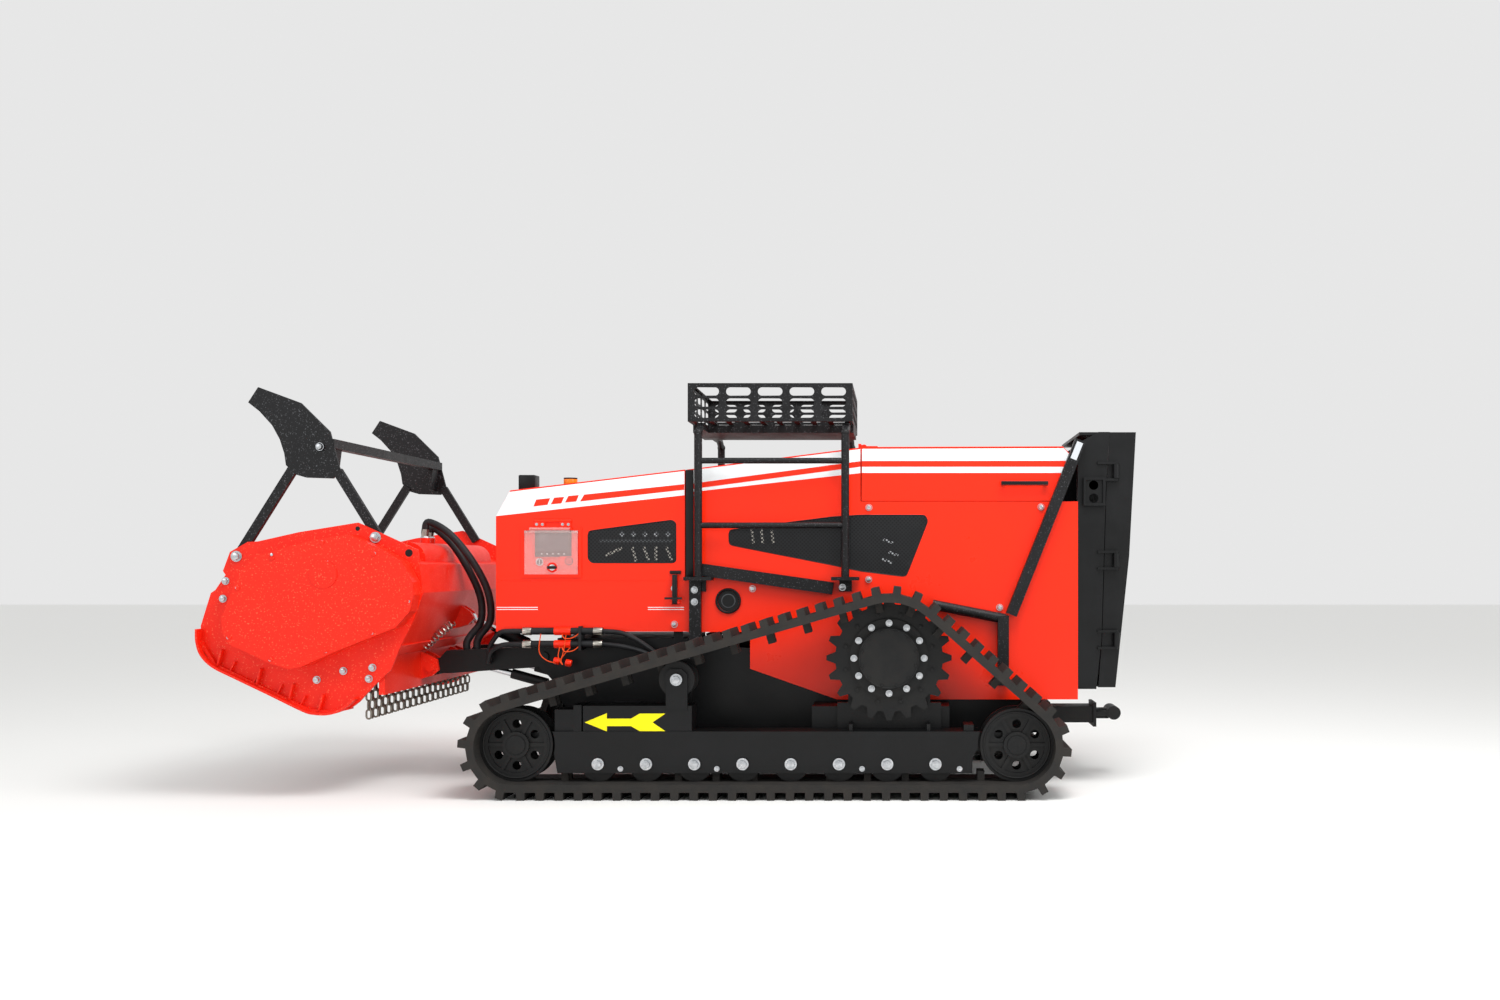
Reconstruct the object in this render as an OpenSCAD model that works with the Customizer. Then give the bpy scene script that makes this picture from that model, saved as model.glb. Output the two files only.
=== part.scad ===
// Tracked stump grinder: remote-controlled rubber-tracked carrier with a
// belt-driven mulching / grinding head. Millimetres, +X rear, -X head, +Z up.

/* [Show] */
// Which sub-part to draw

/* [Overall] */
// Body half width (side panels)
body_w = 370; // [330:400]
// Track centre line from the middle
track_y = 640; // [630:660]
// Rubber track width
track_w = 320; // [280:320]
// Front hood top height at its rear edge
hood_z = 1514; // [1440:1600]
// Basket floor height
basket_z = 1744; // [1700:1850]

/* [Undercarriage] */
// Band thickness
band = 36; // [28:40]
// Outer lug height
lug = 36; // [24:40]
// Guide lug height
guide = 45; // [35:50]
// Idler radius
idler_r = 167; // [160:170]
// Bottom and carrier roller radius
roller_r = 82; // [70:82]
// Sprocket tooth count
teeth = 20; // [20:20]
// Sprocket tip radius
tip_r = 287; // [275:288]
// Roller pin radius
pin_r = 18; // [14:22]
// Lugs on one track
lugs = 69; // [60:75]

/* [Head] */
// Rotor body radius
rotor_r = 165; // [120:180]
// Rotor tooth tip radius
rotor_tip = 232; // [200:240]
// Head half width
head_w = 760; // [700:790]

/* [Fits] */
// Radial running fit
fit = 0.05; // [0.02:0.01:0.09]
// Face-to-face clearance
gap = 0.3; // [0.2:0.1:0.5]

/* [Hidden] */
$fn = 48;
front_i = [-735, 72 + idler_r];
rear_i = [1541, 72 + idler_r];
drive_c = [960, 631];
drive_r = 257;
carrier_c = [-5, 536.25];
roller_x0 = -360;
roller_dx = 218.7;
roller_z = 72 + roller_r;
arm_p = [-721, 610];
tilt_p = [-1270, 560];
rotor_c = [-1772, 773];
motor_c = [-1551, 1016];
sheet = 5;

red = [0.86, 0.16, 0.06];
black = [0.07, 0.07, 0.075];
steel = [0.62, 0.63, 0.64];
rubber = [0.09, 0.09, 0.09];

/* ---------- helpers ---------- */
module bx(x0, x1, y0, y1, z0, z1) translate([x0, y0, z0]) cube([x1 - x0, y1 - y0, z1 - z0]);
// 2-D drawing in X-Z given a thickness along Y
module slab(y0, y1) translate([0, y1, 0]) rotate([90, 0, 0]) linear_extrude(height = y1 - y0) children();
module yc(c, r, y0, y1) translate([c[0], y1, c[1]]) rotate([90, 0, 0]) cylinder(r = r, h = y1 - y0);
module zc(x, y, r, z0, z1) translate([x, y, z0]) cylinder(r = r, h = z1 - z0);
// round bar between two points
module bar(a, b, r) {
  d = b - a;
  l = norm(d);
  translate(a) rotate([0, acos(d[2] / l), atan2(d[1], d[0])]) cylinder(r = r, h = l);
}
// flat strap from a to b in X-Z
module strap(a, b, w, y0, y1) {
  d = b - a;
  l = norm(d);
  slab(y0, y1) translate(a) rotate(atan2(d[1], d[0])) translate([0, -w / 2]) square([l, w]);
}
module both() { children(); mirror([0, 1, 0]) children(); }

/* ---------- track path ---------- */
wc = [front_i, rear_i, drive_c];
wr = [idler_r, idler_r, drive_r];
function nang(i, j) = let (d = wc[j] - wc[i]) atan2(d[1], d[0]) - acos((wr[i] - wr[j]) / norm(d));
function dirv(a) = [cos(a), sin(a)];
na = [nang(0, 1), nang(1, 2), nang(2, 0) + 360];
pitch_t = 17;
function leave(i, t) = wc[i] + (wr[i] + t) * dirv(na[i]);
function reach(i, t) = wc[i] + (wr[i] + t) * dirv(na[(i + 2) % 3]);
run = [for (i = [0:2]) norm(reach((i + 1) % 3, 0) - leave(i, 0))];
turn = [na[0] + 360 - na[2], na[1] - na[0], na[2] - na[1]];
arcl = [for (i = [0:2]) turn[i] * PI / 180 * (wr[i] + pitch_t)];
total = run[0] + run[1] + run[2] + arcl[0] + arcl[1] + arcl[2];
// point and outward angle at distance s along the pitch line
function at(s, i = 0, arc = false) =
  !arc ? (s <= run[i] ? [wc[i] + wr[i] * dirv(na[i]) + s * dirv(na[i] + 90), na[i]] : at(s - run[i], (i + 1) % 3, true))
       : (s <= arcl[i] || i == 0 ? let (a = na[(i + 2) % 3] + s / arcl[i] * turn[i] - (i == 0 ? 360 : 0)) [wc[i] + wr[i] * dirv(a), a] : at(s - arcl[i], i, false));

// loop at depth t: short straight links whose middles touch the true arcs
steps = [for (i = [0:2]) ceil(turn[i] / 6)];
module path_area(t) polygon([for (i = [0:2], k = [0:steps[i] - 1])
  let (st = turn[i] / steps[i], a = na[(i + 2) % 3] + (k + 0.5) * st)
    wc[i] + (wr[i] + t) / cos(st / 2) * dirv(a)]);
module ring(t0, t1) difference() { path_area(t1); path_area(t0); }

/* ---------- undercarriage, left side at -Y ---------- */
// outside of the belt with its lugs, as one outline
module tread() polygon([for (k = [0:lugs - 1]) let (p = at((k + 0.5) * total / lugs), n = dirv(p[1]), u = dirv(p[1] + 90))
  each [p[0] + band * n - 19 * u, p[0] + (band + lug) * n - 17 * u, p[0] + (band + lug) * n + 17 * u, p[0] + band * n + 19 * u]]);
module belt() color(rubber) {
  y = -track_y;
  w = track_w / 2;
  for (e = [[-w, -46], [46, w]]) slab(y + e[0], y + e[1]) difference() { tread(); path_area(0); }
  for (e = [[-46, -23.5], [23.5, 46]]) slab(y + e[0], y + e[1]) difference() {
    tread();
    difference() {
      path_area(0);
      for (k = [0:2:lugs - 2]) let (p = at((k + 0.5) * total / lugs)) translate(p[0]) rotate(p[1]) translate([-guide, -16]) square([guide + 4, 32]);
    }
  }
  slab(y - 23.5, y + 23.5) difference() { tread(); path_area(band - 3); }
}
module wheel_ring(c, r, w0, w1, y) { yc(c, r, y - w1, y - w0); yc(c, r, y + w0, y + w1); }
module track_frame() color(black) {
  y = -track_y;
  // side plates
  for (s = [[-80, -69], [69, 80]])
    slab(y + s[0], y + s[1]) difference() {
      polygon([[-606, 256], [-606, 300], [-430, 301], [1376, 301], [1376, 256], [1340, 180], [1338, 112], [-545, 112], [-560, 200]]);
      translate(front_i) circle(r = idler_r + 12);
      translate(rear_i) circle(r = idler_r + 12);
    }
  // box beam on top, open below for the guide lugs
  bx(-500, 1330, y - 80, y + 80, 245, 301);
  // tension housing with recoil spring inside
  difference() {
    bx(-430, 64, y - 74, y + 74, 301, 417);
    bx(-424, 58, y - 60, y + 60, 310, 408);
  }
  translate([-424, y, 359]) rotate([0, 90, 0]) cylinder(r = 38, h = 482);
  bx(-472, -436, y - 78, y + 78, 255, 420);
  bx(-560, -472, y - 66, y + 66, 273, 399);
  // idler yokes between the twin wheels
  for (c = [[front_i, 1], [rear_i, -1]]) difference() {
    union() {
      yc(c[0], 62, y - 22, y + 22);
      bx(c[1] > 0 ? c[0][0] : 1340, c[1] > 0 ? -490 : c[0][0], y - 22, y + 22, 205, 290);
    }
    yc(c[0], 30 + fit, y - 30, y + 30);
  }
  bx(1300, 1345, y - 66, y + 66, 245, 330);
  // bottom roller pins with bolt heads on the outer face
  for (i = [0:7]) {
    yc([roller_x0 + i * roller_dx, roller_z], pin_r, y - 80, y + 80);
    yc([roller_x0 + i * roller_dx, roller_z], 30, y - 84, y - 79.5);
    yc([roller_x0 + i * roller_dx, roller_z], 17, y - 97, y - 83);
  }
  for (x = [-257, 180, 838, 1280]) yc([x, 133], 9, y - 88, y - 79);
  // carrier roller brackets
  for (s = [[-80, -69], [69, 80]]) slab(y + s[0], y + s[1]) polygon([[-53, 400], [45, 400], [45, 560], [20, 584], [-35, 584], [-53, 566]]);
  yc(carrier_c, pin_r, y - 80, y + 80);
  yc(carrier_c, 32, y - 84, y - 79.5);
  yc(carrier_c, 17, y - 98, y - 83);
  // sprocket support plates and final drive on the inner side
  bx(720, 1200, y + 46, y + 80, 300, 420);
  for (x = [786, 1140]) bx(x - 8, x + 8, y - 60, y + 60, 300, 352 - 20);
  slab(y + 46, y + 80) difference() {
    union() { translate(drive_c) circle(r = 190); translate([770, 400]) square([380, 200]); }
    translate(drive_c) circle(r = 60 + fit);
  }
  difference() {
    yc(drive_c, 150, y + 79, y + 190);
    yc(drive_c, 60 + fit, y + 70, y + 130);
  }
  yc(drive_c, 85, y + 189, y + 250);
  // cross tubes to the chassis
  for (x = [-300, 660, 1180]) bx(x - 60, x + 60, y + 79, -330.3, 265, 400);
}
module sprocket() color(black) {
  y = -track_y;
  difference() {
    slab(y - 20, y + 20) polygon([for (i = [0:teeth - 1], k = [0:3]) let (a = 360 / teeth * (i + [-0.34, -0.12, 0.12, 0.34][k]), r = k == 0 || k == 3 ? 247 : tip_r) [drive_c[0] + r * cos(a), drive_c[1] + r * sin(a)]]);
    for (i = [0:11]) yc(drive_c + 205 * dirv(30 * i + 15), 9, y - 25, y + 25);
  }
  yc(drive_c, 180, y - 34, y - 19);
  yc(drive_c, 139, y - 66, y - 33);
  for (i = [0:11]) { yc(drive_c + 160.5 * dirv(30 * i), 14, y - 40, y - 33); yc(drive_c + 160.5 * dirv(30 * i), 9, y - 52, y - 39); }
  yc(drive_c, 60, y + 19, y + 126);
}
module idler(c) color(black) {
  y = -track_y;
  wheel = [50, 68];
  for (s = [-1, 1]) {
    difference() {
      yc(c, idler_r - gap, s < 0 ? y - 68 : y + 50, s < 0 ? y - 50 : y + 68);
      yc(c, 128, s < 0 ? y - 70 : y + 58, s < 0 ? y - 58 : y + 70);
      for (i = [0:5]) yc(c + 95 * dirv(60 * i + 30), 20, y - 75, y + 75);
    }
    for (i = [0:5]) translate([c[0], 0, c[1]]) rotate([0, 60 * i, 0]) bx(50, 132, s < 0 ? y - 66 : y + 57, s < 0 ? y - 57 : y + 66, -8, 8);
    yc(c, 60, s < 0 ? y - 76 : y + 24, s < 0 ? y - 24 : y + 76);
  }
  yc(c, 30, y - 40, y + 40);
}
module spool(c) color(black) {
  y = -track_y;
  difference() {
    union() { wheel_ring(c, roller_r - gap, 50, 66, y); yc(c, 34, y - 60, y + 60); }
    yc(c, pin_r + fit, y - 70, y + 70);
  }
}
module track_belt_left() belt();
module track_belt_right() mirror([0, 1, 0]) belt();
module track_frame_left() track_frame();
module track_frame_right() mirror([0, 1, 0]) track_frame();
module sprocket_left() sprocket();
module sprocket_right() mirror([0, 1, 0]) sprocket();
module front_idler_left() idler(front_i);
module front_idler_right() mirror([0, 1, 0]) idler(front_i);
module rear_idler_left() idler(rear_i);
module rear_idler_right() mirror([0, 1, 0]) idler(rear_i);
module carrier_roller_left() spool(carrier_c);
module carrier_roller_right() mirror([0, 1, 0]) spool(carrier_c);
module low(i) spool([roller_x0 + (i - 1) * roller_dx, roller_z]);
module low_r(i) mirror([0, 1, 0]) low(i);

/* ---------- chassis ---------- */
module chassis_frame() color(black) {
  both() slab(-330, -312) polygon([[-640, 420], [-560, 330], [-300, 250], [1700, 250], [1700, 412], [1180, 412], [1000, 620], [-600, 700], [-640, 660]]);
  bx(-560, 1700, -312.5, 312.5, 330, 342);
  bx(-642, -628, -330, 330, 420, 660);
  bx(1686, 1700, -330, 330, 250, 412);
  bx(-300, -286, -330, 330, 250, 600);
  // deck under the bodywork
  bx(-640, -20, -330, 330, 690, 704);
  both() bx(-640, -20, -330, -310, 640, 704);
  // arm pivot lugs and pin
  both() difference() {
    for (y = [-262, -180]) slab(y - 9, y + 9) polygon([[-629, 440], [-629, 690], [-700, 680], [-765, 640], [-765, 575], [-700, 520]]);
    yc(arm_p, 24.5, -280, -150);
  }
  both() yc(arm_p, 25, -285, -157);
  // lift cylinder lower lugs
  both() {
    for (y = [-238, -204]) slab(y - 6, y + 6) polygon([[-629, 430], [-629, 520], [-676, 506], [-700, 466], [-676, 432]]);
    yc([-672, 466], 14, -246, -196);
  }
  // engine mounts
  both() for (x = [930, 1450]) bx(x - 40, x + 40, -312.5, -230, 341, 470);
  // rear posts for tow hitch and ladder frame
  bx(1699, 1760, -90, 90, 260, 372);
  // front under-hood posts carry the body panels
  both() for (x = [-600, -60]) bx(x - 20, x + 20, -330, -300, 703, 737.7);
}

/* ---------- bodywork ---------- */
f_win = [[-484, 1220], [-82, 1272], [-63, 1258], [-63, 1076], [-77, 1067], [-465, 1067], [-484, 1086]];
m_win = [[191, 1225], [684, 1287], [818, 1296], [1130, 1296], [1144, 1268], [1039, 1000], [818, 1028], [684, 1057], [191, 1153]];
hood_o = [[-925, 981], [-925, 1289], [-857, 1414], [-20, hood_z], [-20, 981]];
hood_i = [[-920, 970], [-920, 1288], [-854, 1409], [-10, hood_z - 5], [-10, 970]];
module front_hood() color(red) {
  difference() {
    slab(-body_w, body_w) polygon(hood_o);
    slab(-body_w + sheet, body_w - sheet) polygon(hood_i);
    both() slab(-body_w - 1, -body_w + 3) polygon(f_win);
    // seat for the control panel on the left
    bx(-800, -517, -body_w - 1, -body_w + 20, 1000, 1233);
  }
  // hinge leaves at the front lower edge
  both() difference() {
    union() { bx(-925, -912, -300, -220, 966, 1040); yc([-932, 972], 12, -300, -220); bx(-934, -919, -300, -220, 972, 990); }
    yc([-932, 972], 6 + fit, -310, -210);
  }
  both() slab(-body_w + 3, -body_w + sheet + 6) difference() { offset(delta = 12) polygon(f_win); offset(delta = -14) polygon(f_win); }
}
module body_panels() color(red) {
  // front lower box
  difference() {
    bx(-925, -10, -body_w, body_w, 738, 980);
    bx(-920, -4, -body_w + sheet, body_w - sheet, 744, 990);
    both() bx(-940, -900, -305, -215, 955, 990);
    // notch for the tilt cylinder
    bx(-940, -850, -45, 45, 730, 800);
  }
  // hinge pins for the hood
  both() { yc([-932, 972], 6, -312, -208); for (y = [-312, -214]) bx(-940, -924, y, y + 6, 950, 978); }
  // mid body and engine bay
  difference() {
    slab(-body_w, body_w) polygon([[-10, 736], [-10, 1514], [821, 1619], [821, 1361], [1800, 1361], [1862, 1361], [1862, 413], [708, 413], [292, 560], [292, 736]]);
    slab(-body_w + sheet, body_w - sheet) polygon([[-16, 742], [-16, 1508], [815, 1613], [815, 1370], [1856, 1370], [1856, 419], [709, 419], [297, 566], [297, 742]]);
    both() slab(-body_w - 1, -body_w + 3) polygon(m_win);
    // round air port, left
    yc([188, 885], 51, -body_w - 1, -body_w + 30);
    // radiator air inlet and shaft clearance
    bx(-30, 0, -300, 300, 760, 960);
    // open underneath for the chassis
    bx(-12, 1845, -340, 340, 400, 735);
  }
  both() difference() { yc([188, 885], 60, -body_w - 8, -body_w + 1); yc([188, 885], 51, -body_w - 20, -body_w + 20); }
  yc([188, 885], 60, -body_w + sheet, -body_w + 30);
  // window bars behind the mesh
  both() slab(-body_w + 3, -body_w + sheet + 6) difference() { offset(delta = 12) polygon(m_win); offset(delta = -16) polygon(m_win); }
  // lid hinge knuckles
  both() { difference() { bx(806, 820.5, -220, -140, 1600, 1650); yc([834, 1634], 20, -230, -130); } yc([834, 1634], 8, -222, -138); bx(812, 834, -222, -212, 1612, 1644); bx(812, 834, -148, -138, 1612, 1644); }
  // bolts
  both() for (p = [[861, 1332], [1685, 1335], [860, 988], [1487, 854], [304, 943], [-70, 773]]) yc(p, 13, -body_w - 11, -body_w + 1);
  latch_base();
  // fan carrier beam and shaft bearing
  difference() { bx(330, 350, -366, 366, 960, 1040); translate([300, 0, 1000]) rotate([0, 90, 0]) cylinder(r = 14 + fit, h = 80); }
}
lid_o = [[826, 1364], [826, 1622], [1790, 1625], [1832, 1580], [1752, 1364]];
module engine_lid() color(red) {
  difference() {
    slab(-body_w, body_w) polygon(lid_o);
    slab(-body_w + sheet, body_w - sheet) polygon([[831, 1350], [831, 1617], [1788, 1620], [1826, 1578], [1745, 1350]]);
    both() { bx(820, 856, -226, -134, 1610, 1660); }
  }
  both() difference() {
    union() { yc([834, 1634], 14, -209, -151); bx(834, 900, -209, -151, 1624, 1640); bx(864, 900, -209, -151, 1618, 1636); }
    yc([834, 1634], 8 + fit, -230, -130);
  }
  // side handles
  both() { bx(1490, 1718, -body_w - 36, -body_w - 24, 1438, 1456); for (x = [1496, 1696]) bx(x, x + 16, -body_w - 25, -body_w + 2, 1441, 1453); }
}
module rear_guard() color(black) {
  // heavy rear frame that carries the door
  both() slab(-body_w, -body_w + 12) polygon([[1862.3, 1640], [1960, 1694], [2014, 1694], [1995, 1400], [1975, 700], [1950, 462], [1862.3, 475]]);
  bx(1870, 2014, -body_w + 11, body_w - 11, 1680, 1694);
  bx(1862.3, 1950, -body_w + 11, body_w - 11, 462, 476);
  both() bx(1862.3, 1880, -body_w + 11, -body_w + 60, 470, 1640);
  // lamp boxes
  both() difference() { bx(1885, 1990, -body_w - 30, -body_w + 1, 1340, 1475); bx(1897, 1978, -body_w - 40, -body_w - 18, 1352, 1463); }
  // door hinge pins, left side
  for (z = [700, 1080, 1505]) { zc(2045, -body_w - 4, 9, z - 46, z + 46); for (k = [-1, 1]) bx(1985 - 30, 2050, -body_w - 12, -body_w + 4, z + k * 40 - 6, z + k * 40 + 6); }
}
module rear_door() color(black) {
  difference() {
    slab(-body_w + 14, body_w) polygon([[2016, 1694], [2142, 1694], [2110, 1100], [2044, 470], [1962, 470], [1980, 700], [2000, 1400]]);
    slab(-body_w + 22, body_w - 8) polygon([[2000, 1686], [2134, 1686], [2102, 1100], [2037, 478], [1950, 478], [1970, 700], [1990, 1400]]);
  }
  for (z = [700, 1080, 1505]) difference() {
    union() { zc(2045, -body_w - 4, 16, z - 33, z + 33); bx(2036, 2062, -body_w - 4, -body_w + 16, z - 33, z + 33); }
    zc(2045, -body_w - 4, 9 + fit, z - 60, z + 60);
  }
}
/* ---------- basket and ladder frame ---------- */
// the basket is welded from plates: two long walls, two ends, a floor and two top lips
module basket() color(black) {
  x0 = -7; x1 = 783; wall = 4; in_y = body_w - wall - gap;
  both() difference() {
    bx(x0, x1, -body_w, -body_w + wall, basket_z, basket_z + 184);
    for (i = [0:4], r = [0:2]) bx(x0 + 32 + i * 148, x0 + 150 + i * 148, -body_w - 5, -body_w + wall + 5, basket_z + 20 + r * 52, basket_z + 60 + r * 52);
  }
  for (x = [x0, x1 - wall]) difference() {
    bx(x, x + wall, -in_y, in_y, basket_z, basket_z + 184);
    for (i = [0:4], r = [0:2]) bx(x - 5, x + wall + 5, -body_w + 30 + i * 139, -body_w + 148 + i * 139, basket_z + 20 + r * 52, basket_z + 60 + r * 52);
  }
  difference() {
    bx(x0 + wall + gap, x1 - wall - gap, -in_y, in_y, basket_z, basket_z + 5);
    for (i = [0:7]) bx(x0 + 40 + i * 90, x0 + 104 + i * 90, -body_w + 40, body_w - 40, basket_z - 5, basket_z + 10);
  }
  both() bx(x0 + wall + gap, x1 - wall - gap, -in_y, -body_w + 24, basket_z + 176, basket_z + 184);
}
module ladder_frame() color(black) {
  post_r = 19; floor_y = 200; foot_z = 1000;
  both() {
    for (x = [52, 750]) {
      bar([x, -430, foot_z + gap], [x, -430, basket_z - 60], post_r);
      bar([x, -430, basket_z - 60], [x, -340, basket_z - 22], 17);
      translate([x, -430, basket_z - 60]) sphere(r = 21);
      bx(x - 17, x + 17, -350, -floor_y - gap, basket_z - 38, basket_z - 4);
      bx(x - 5, x + 5, -455, -390, foot_z + gap, foot_z + 50);
      bx(x - 66, x + 66, -462, -384, foot_z - 16, foot_z);
      bx(x - 30, x + 30, -384.5, -body_w - gap, 930, foot_z);
    }
    // rungs coped to the posts they are welded to
    for (z = [1552, 1245]) difference() {
      bar([52, -430, z], [750, -430, z], 14);
      for (x = [52, 750]) zc(x, -430, post_r + gap, z - 40, z + 40);
    }
    bx(4, 60, -400, -body_w - gap, 610, 985);
    // diagonal rails of the side guard
    strap([60, 1035], [690, 945], 58, -body_w - 40, -body_w - gap);
    bar([1165, -body_w - 27, 868], [1510, -body_w - 27, 800], 24);
    strap([1870, 1650], [1540, 820], 52, -body_w - 52, -body_w - gap);
    bx(1476, 1528, -body_w - 52, -body_w - gap, 483, 815);
  }
  bx(-6, 782, -floor_y, floor_y, basket_z - 38, basket_z - gap);
}
/* ---------- controls ---------- */
module control_panel() color(red) {
  y = -body_w;
  difference() {
    union() { bx(-803, -514, y - 6, y - gap, 997, 1236); bx(-796, -521, y - gap - 0.2, y + 16, 1004, 1229); }
    bx(-790, -527, y - 10, y + 12, 1010, 1223);
    zc(-575, 0, 1, 0, 1);
  }
  bx(-735, -566, y + 2, y + 13, 1100, 1222);
  difference() { bx(-620, -530, y - 2, y + 13, 1050, 1098); yc([-575, 1084 - 8], 8 + fit, y - 10, y + 14); }
  yc([-715, 1071], 20, y - 4, y + 13);
  // flap hinge ears
  for (x = [-770, -566]) bx(x, x + 8, y - 19.5, y - 5, 1224, 1236);
  translate([-770, y - 14, 1230]) rotate([0, 90, 0]) cylinder(r = 3, h = 212);
  difference() { bx(-668, -638, y - 4, y + 13, 1030, 1060); yc([-653, 1045], 4 + fit, y - 20, y + 14); }
}
module panel_flap() color([0.75, 0.8, 0.82, 0.5]) {
  y = -body_w;
  difference() {
    union() {
      bx(-786, -531, y - 12, y - 8, 1012, 1221);
      translate([-761, y - 14, 1230]) rotate([0, 90, 0]) cylinder(r = 7, h = 194);
      bx(-761, -567, y - 17, y - 9, 1215, 1226);
    }
    translate([-800, y - 14, 1230]) rotate([0, 90, 0]) cylinder(r = 3 + fit, h = 300);
    yc([-653, 1045], 24, y - 20, y);
  }
}
module flap_latch() color(black) {
  y = -body_w;
  yc([-653, 1045], 4, y - 16, y + 8);
  bx(-674, -632, y - 22, y - 15, 1039, 1051);
}
module estop_button() color([0.8, 0.05, 0.05]) {
  y = -body_w;
  yc([-575, 1076], 8, y - 5, y + 6);
  yc([-575, 1076], 17, y - 7.5, y - 4.5);
}
module hood_latch() color(rubber) {
  y = -body_w;
  difference() {
    union() {
      bx(-76, -54, y - 34, y - 10, 885, 1010);
      translate([-76, y - 20, 880]) rotate([0, 90, 0]) cylinder(r = 11, h = 22);
      bx(-112, -30, y - 36, y - 28, 893, 903);
    }
    translate([-100, y - 20, 880]) rotate([0, 90, 0]) cylinder(r = 5 + fit, h = 80);
  }
}
module latch_base() {
  y = -body_w;
  translate([-86, y - 20, 880]) rotate([0, 90, 0]) cylinder(r = 5, h = 42);
  for (x = [-88, -52]) bx(x, x + 10, y - 27, y + 1, 873, 887);
}
module beacon_camera() color([0.9, 0.45, 0.05]) {
  zc(-655, 0, 42, 1443.5, 1452);
  zc(-655, 0, 34, 1451, 1497);
  difference() { bx(-905, -825, -45, 45, 1434, 1508); translate([-920, 0, 1472]) rotate([0, 90, 0]) cylinder(r = 18, h = 40); }
  bx(-850, -800, -30, 30, 1421.2, 1436);
}
/* ---------- power pack inside ---------- */
module engine() color([0.3, 0.32, 0.33]) {
  bx(820, 1560, -190, 190, 470.3, 1080);
  bx(850, 1500, -120, 120, 1079, 1200);
  both() for (x = [930, 1450]) bx(x - 38, x + 38, -300, -189, 470.3, 530);
  for (i = [0:3]) zc(920 + i * 150, 60, 30, 1199, 1240);
  translate([700, 0, 820]) rotate([0, 90, 0]) cylinder(r = 90, h = 121);
  translate([1559, 0, 760]) rotate([0, 90, 0]) cylinder(r = 110, h = 130);
  bx(860, 1240, -320, -189, 900, 1010);
}
module radiator() color([0.45, 0.46, 0.47]) {
  difference() { bx(20, 130, -300, 300, 742.3, 1300); bx(10, 100, -270, 270, 770, 1270); }
  for (i = [0:8]) bx(60, 110, -268, 268, 800 + i * 54, 806 + i * 54);
}
module cooling_fan() color(black) {
  translate([150, 0, 1000]) rotate([0, 90, 0]) cylinder(r = 60, h = 50);
  translate([199, 0, 1000]) rotate([0, 90, 0]) cylinder(r = 14, h = 160);
  for (i = [0:6]) translate([175, 0, 1000]) rotate([360 / 7 * i, 0, 0]) rotate([0, 0, 0]) translate([0, 50, 0]) rotate([0, 30, 0]) translate([-24, 0, -3]) cube([48, 170, 6]);
}
module tanks() color(black) {
  bx(380, 690, -350, -40, 660, 920);
  bx(380, 690, 40, 350, 660, 920);
  zc(600, -200, 34, 919, 950);
  zc(600, 200, 34, 919, 950);
  bx(380, 690, -360, 360, 651.4, 660.5);
}
/* ---------- lift arm and cylinders ---------- */
arm_w = 221;
module lift_arm() color(black) {
  both() {
    difference() {
      slab(-arm_w - 31.7, -arm_w + 31.7) union() {
        translate(arm_p) circle(r = 52);
        polygon([[-730, 661], [-1200, 640], [-1236, 600], [-1236, 530], [-1180, 530], [-700, 562]]);
        translate(tilt_p) circle(r = 40);
        polygon([[-1236, 600], [-1270, 600], [-1270, 520], [-1236, 525]]);
      }
      yc(arm_p, 25 + fit, -270, -170);
      yc(tilt_p, 22 + fit, -270, -170);
      // pocket for the lift cylinder eye
      slab(-arm_w - 25, -arm_w + 25) polygon([[-1100, 400], [-850, 400], [-850, 600], [-1100, 606]]);
    }
    yc([-1050, 570], 14, -arm_w - 28, -arm_w + 28);
  }
  difference() {
    bx(-1150, -1000, -arm_w + 31, arm_w - 31, 560, 620);
    yc([0, 0], 1, 0, 1);
  }
  // tilt cylinder lugs
  for (y = [-26, 26]) slab(y - 8, y + 8) polygon([[-1005, 562], [-1005, 600], [-893, 612], [-858, 650], [-850, 668], [-818, 670], [-802, 640], [-825, 606]]);
  yc([-830, 640], 14, -34, 34);
}
/* ---------- hydraulic cylinders ---------- */
lift_a = [-672, 466];
lift_b = [-1050, 570];
tilt_a = [-830, 640];
tilt_b = [-1160, 790];
// the rod eyes sit loose on their pins: the coupled strokes are straight lines
// where a real linkage runs slightly curved
eye_slack = 5.5;
// barrel from point a towards b: eye, tube, gland
module barrel(a, b, y, w, r, len) {
  u = (b - a) / norm(b - a);
  difference() {
    union() {
      yc(a, 26, y - w, y + w);
      bar([a[0] + 18 * u[0], y, a[1] + 18 * u[1]], [a[0] + 50 * u[0], y, a[1] + 50 * u[1]], w - 1);
      bar([a[0] + 46 * u[0], y, a[1] + 46 * u[1]], [a[0] + len * u[0], y, a[1] + len * u[1]], r);
    }
    yc(a, 14 + fit, y - 60, y + 60);
    bar([a[0] + 60 * u[0], y, a[1] + 60 * u[1]], [a[0] + (len + 5) * u[0], y, a[1] + (len + 5) * u[1]], 15 + fit);
  }
}
module rod(a, b, y, w, start) {
  u = (b - a) / norm(b - a);
  difference() {
    union() {
      bar([a[0] + start * u[0], y, a[1] + start * u[1]], [b[0] - 16 * u[0], y, b[1] - 16 * u[1]], 15);
      yc(b, 27, y - w, y + w);
    }
    yc(b, 14 + eye_slack, y - 60, y + 60);
  }
}
module lift_barrels() color(black) both() barrel(lift_a, lift_b, -221, 10.4, 24, 225);
module lift_rods() color(steel) both() rod(lift_a, lift_b, -221, 11.4, 130);
module tilt_barrel() color(black) barrel(tilt_a, tilt_b, 0, 17.6, 30, 215);
module tilt_rod() color(steel) rod(tilt_a, tilt_b, 0, 17.5, 112);

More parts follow.
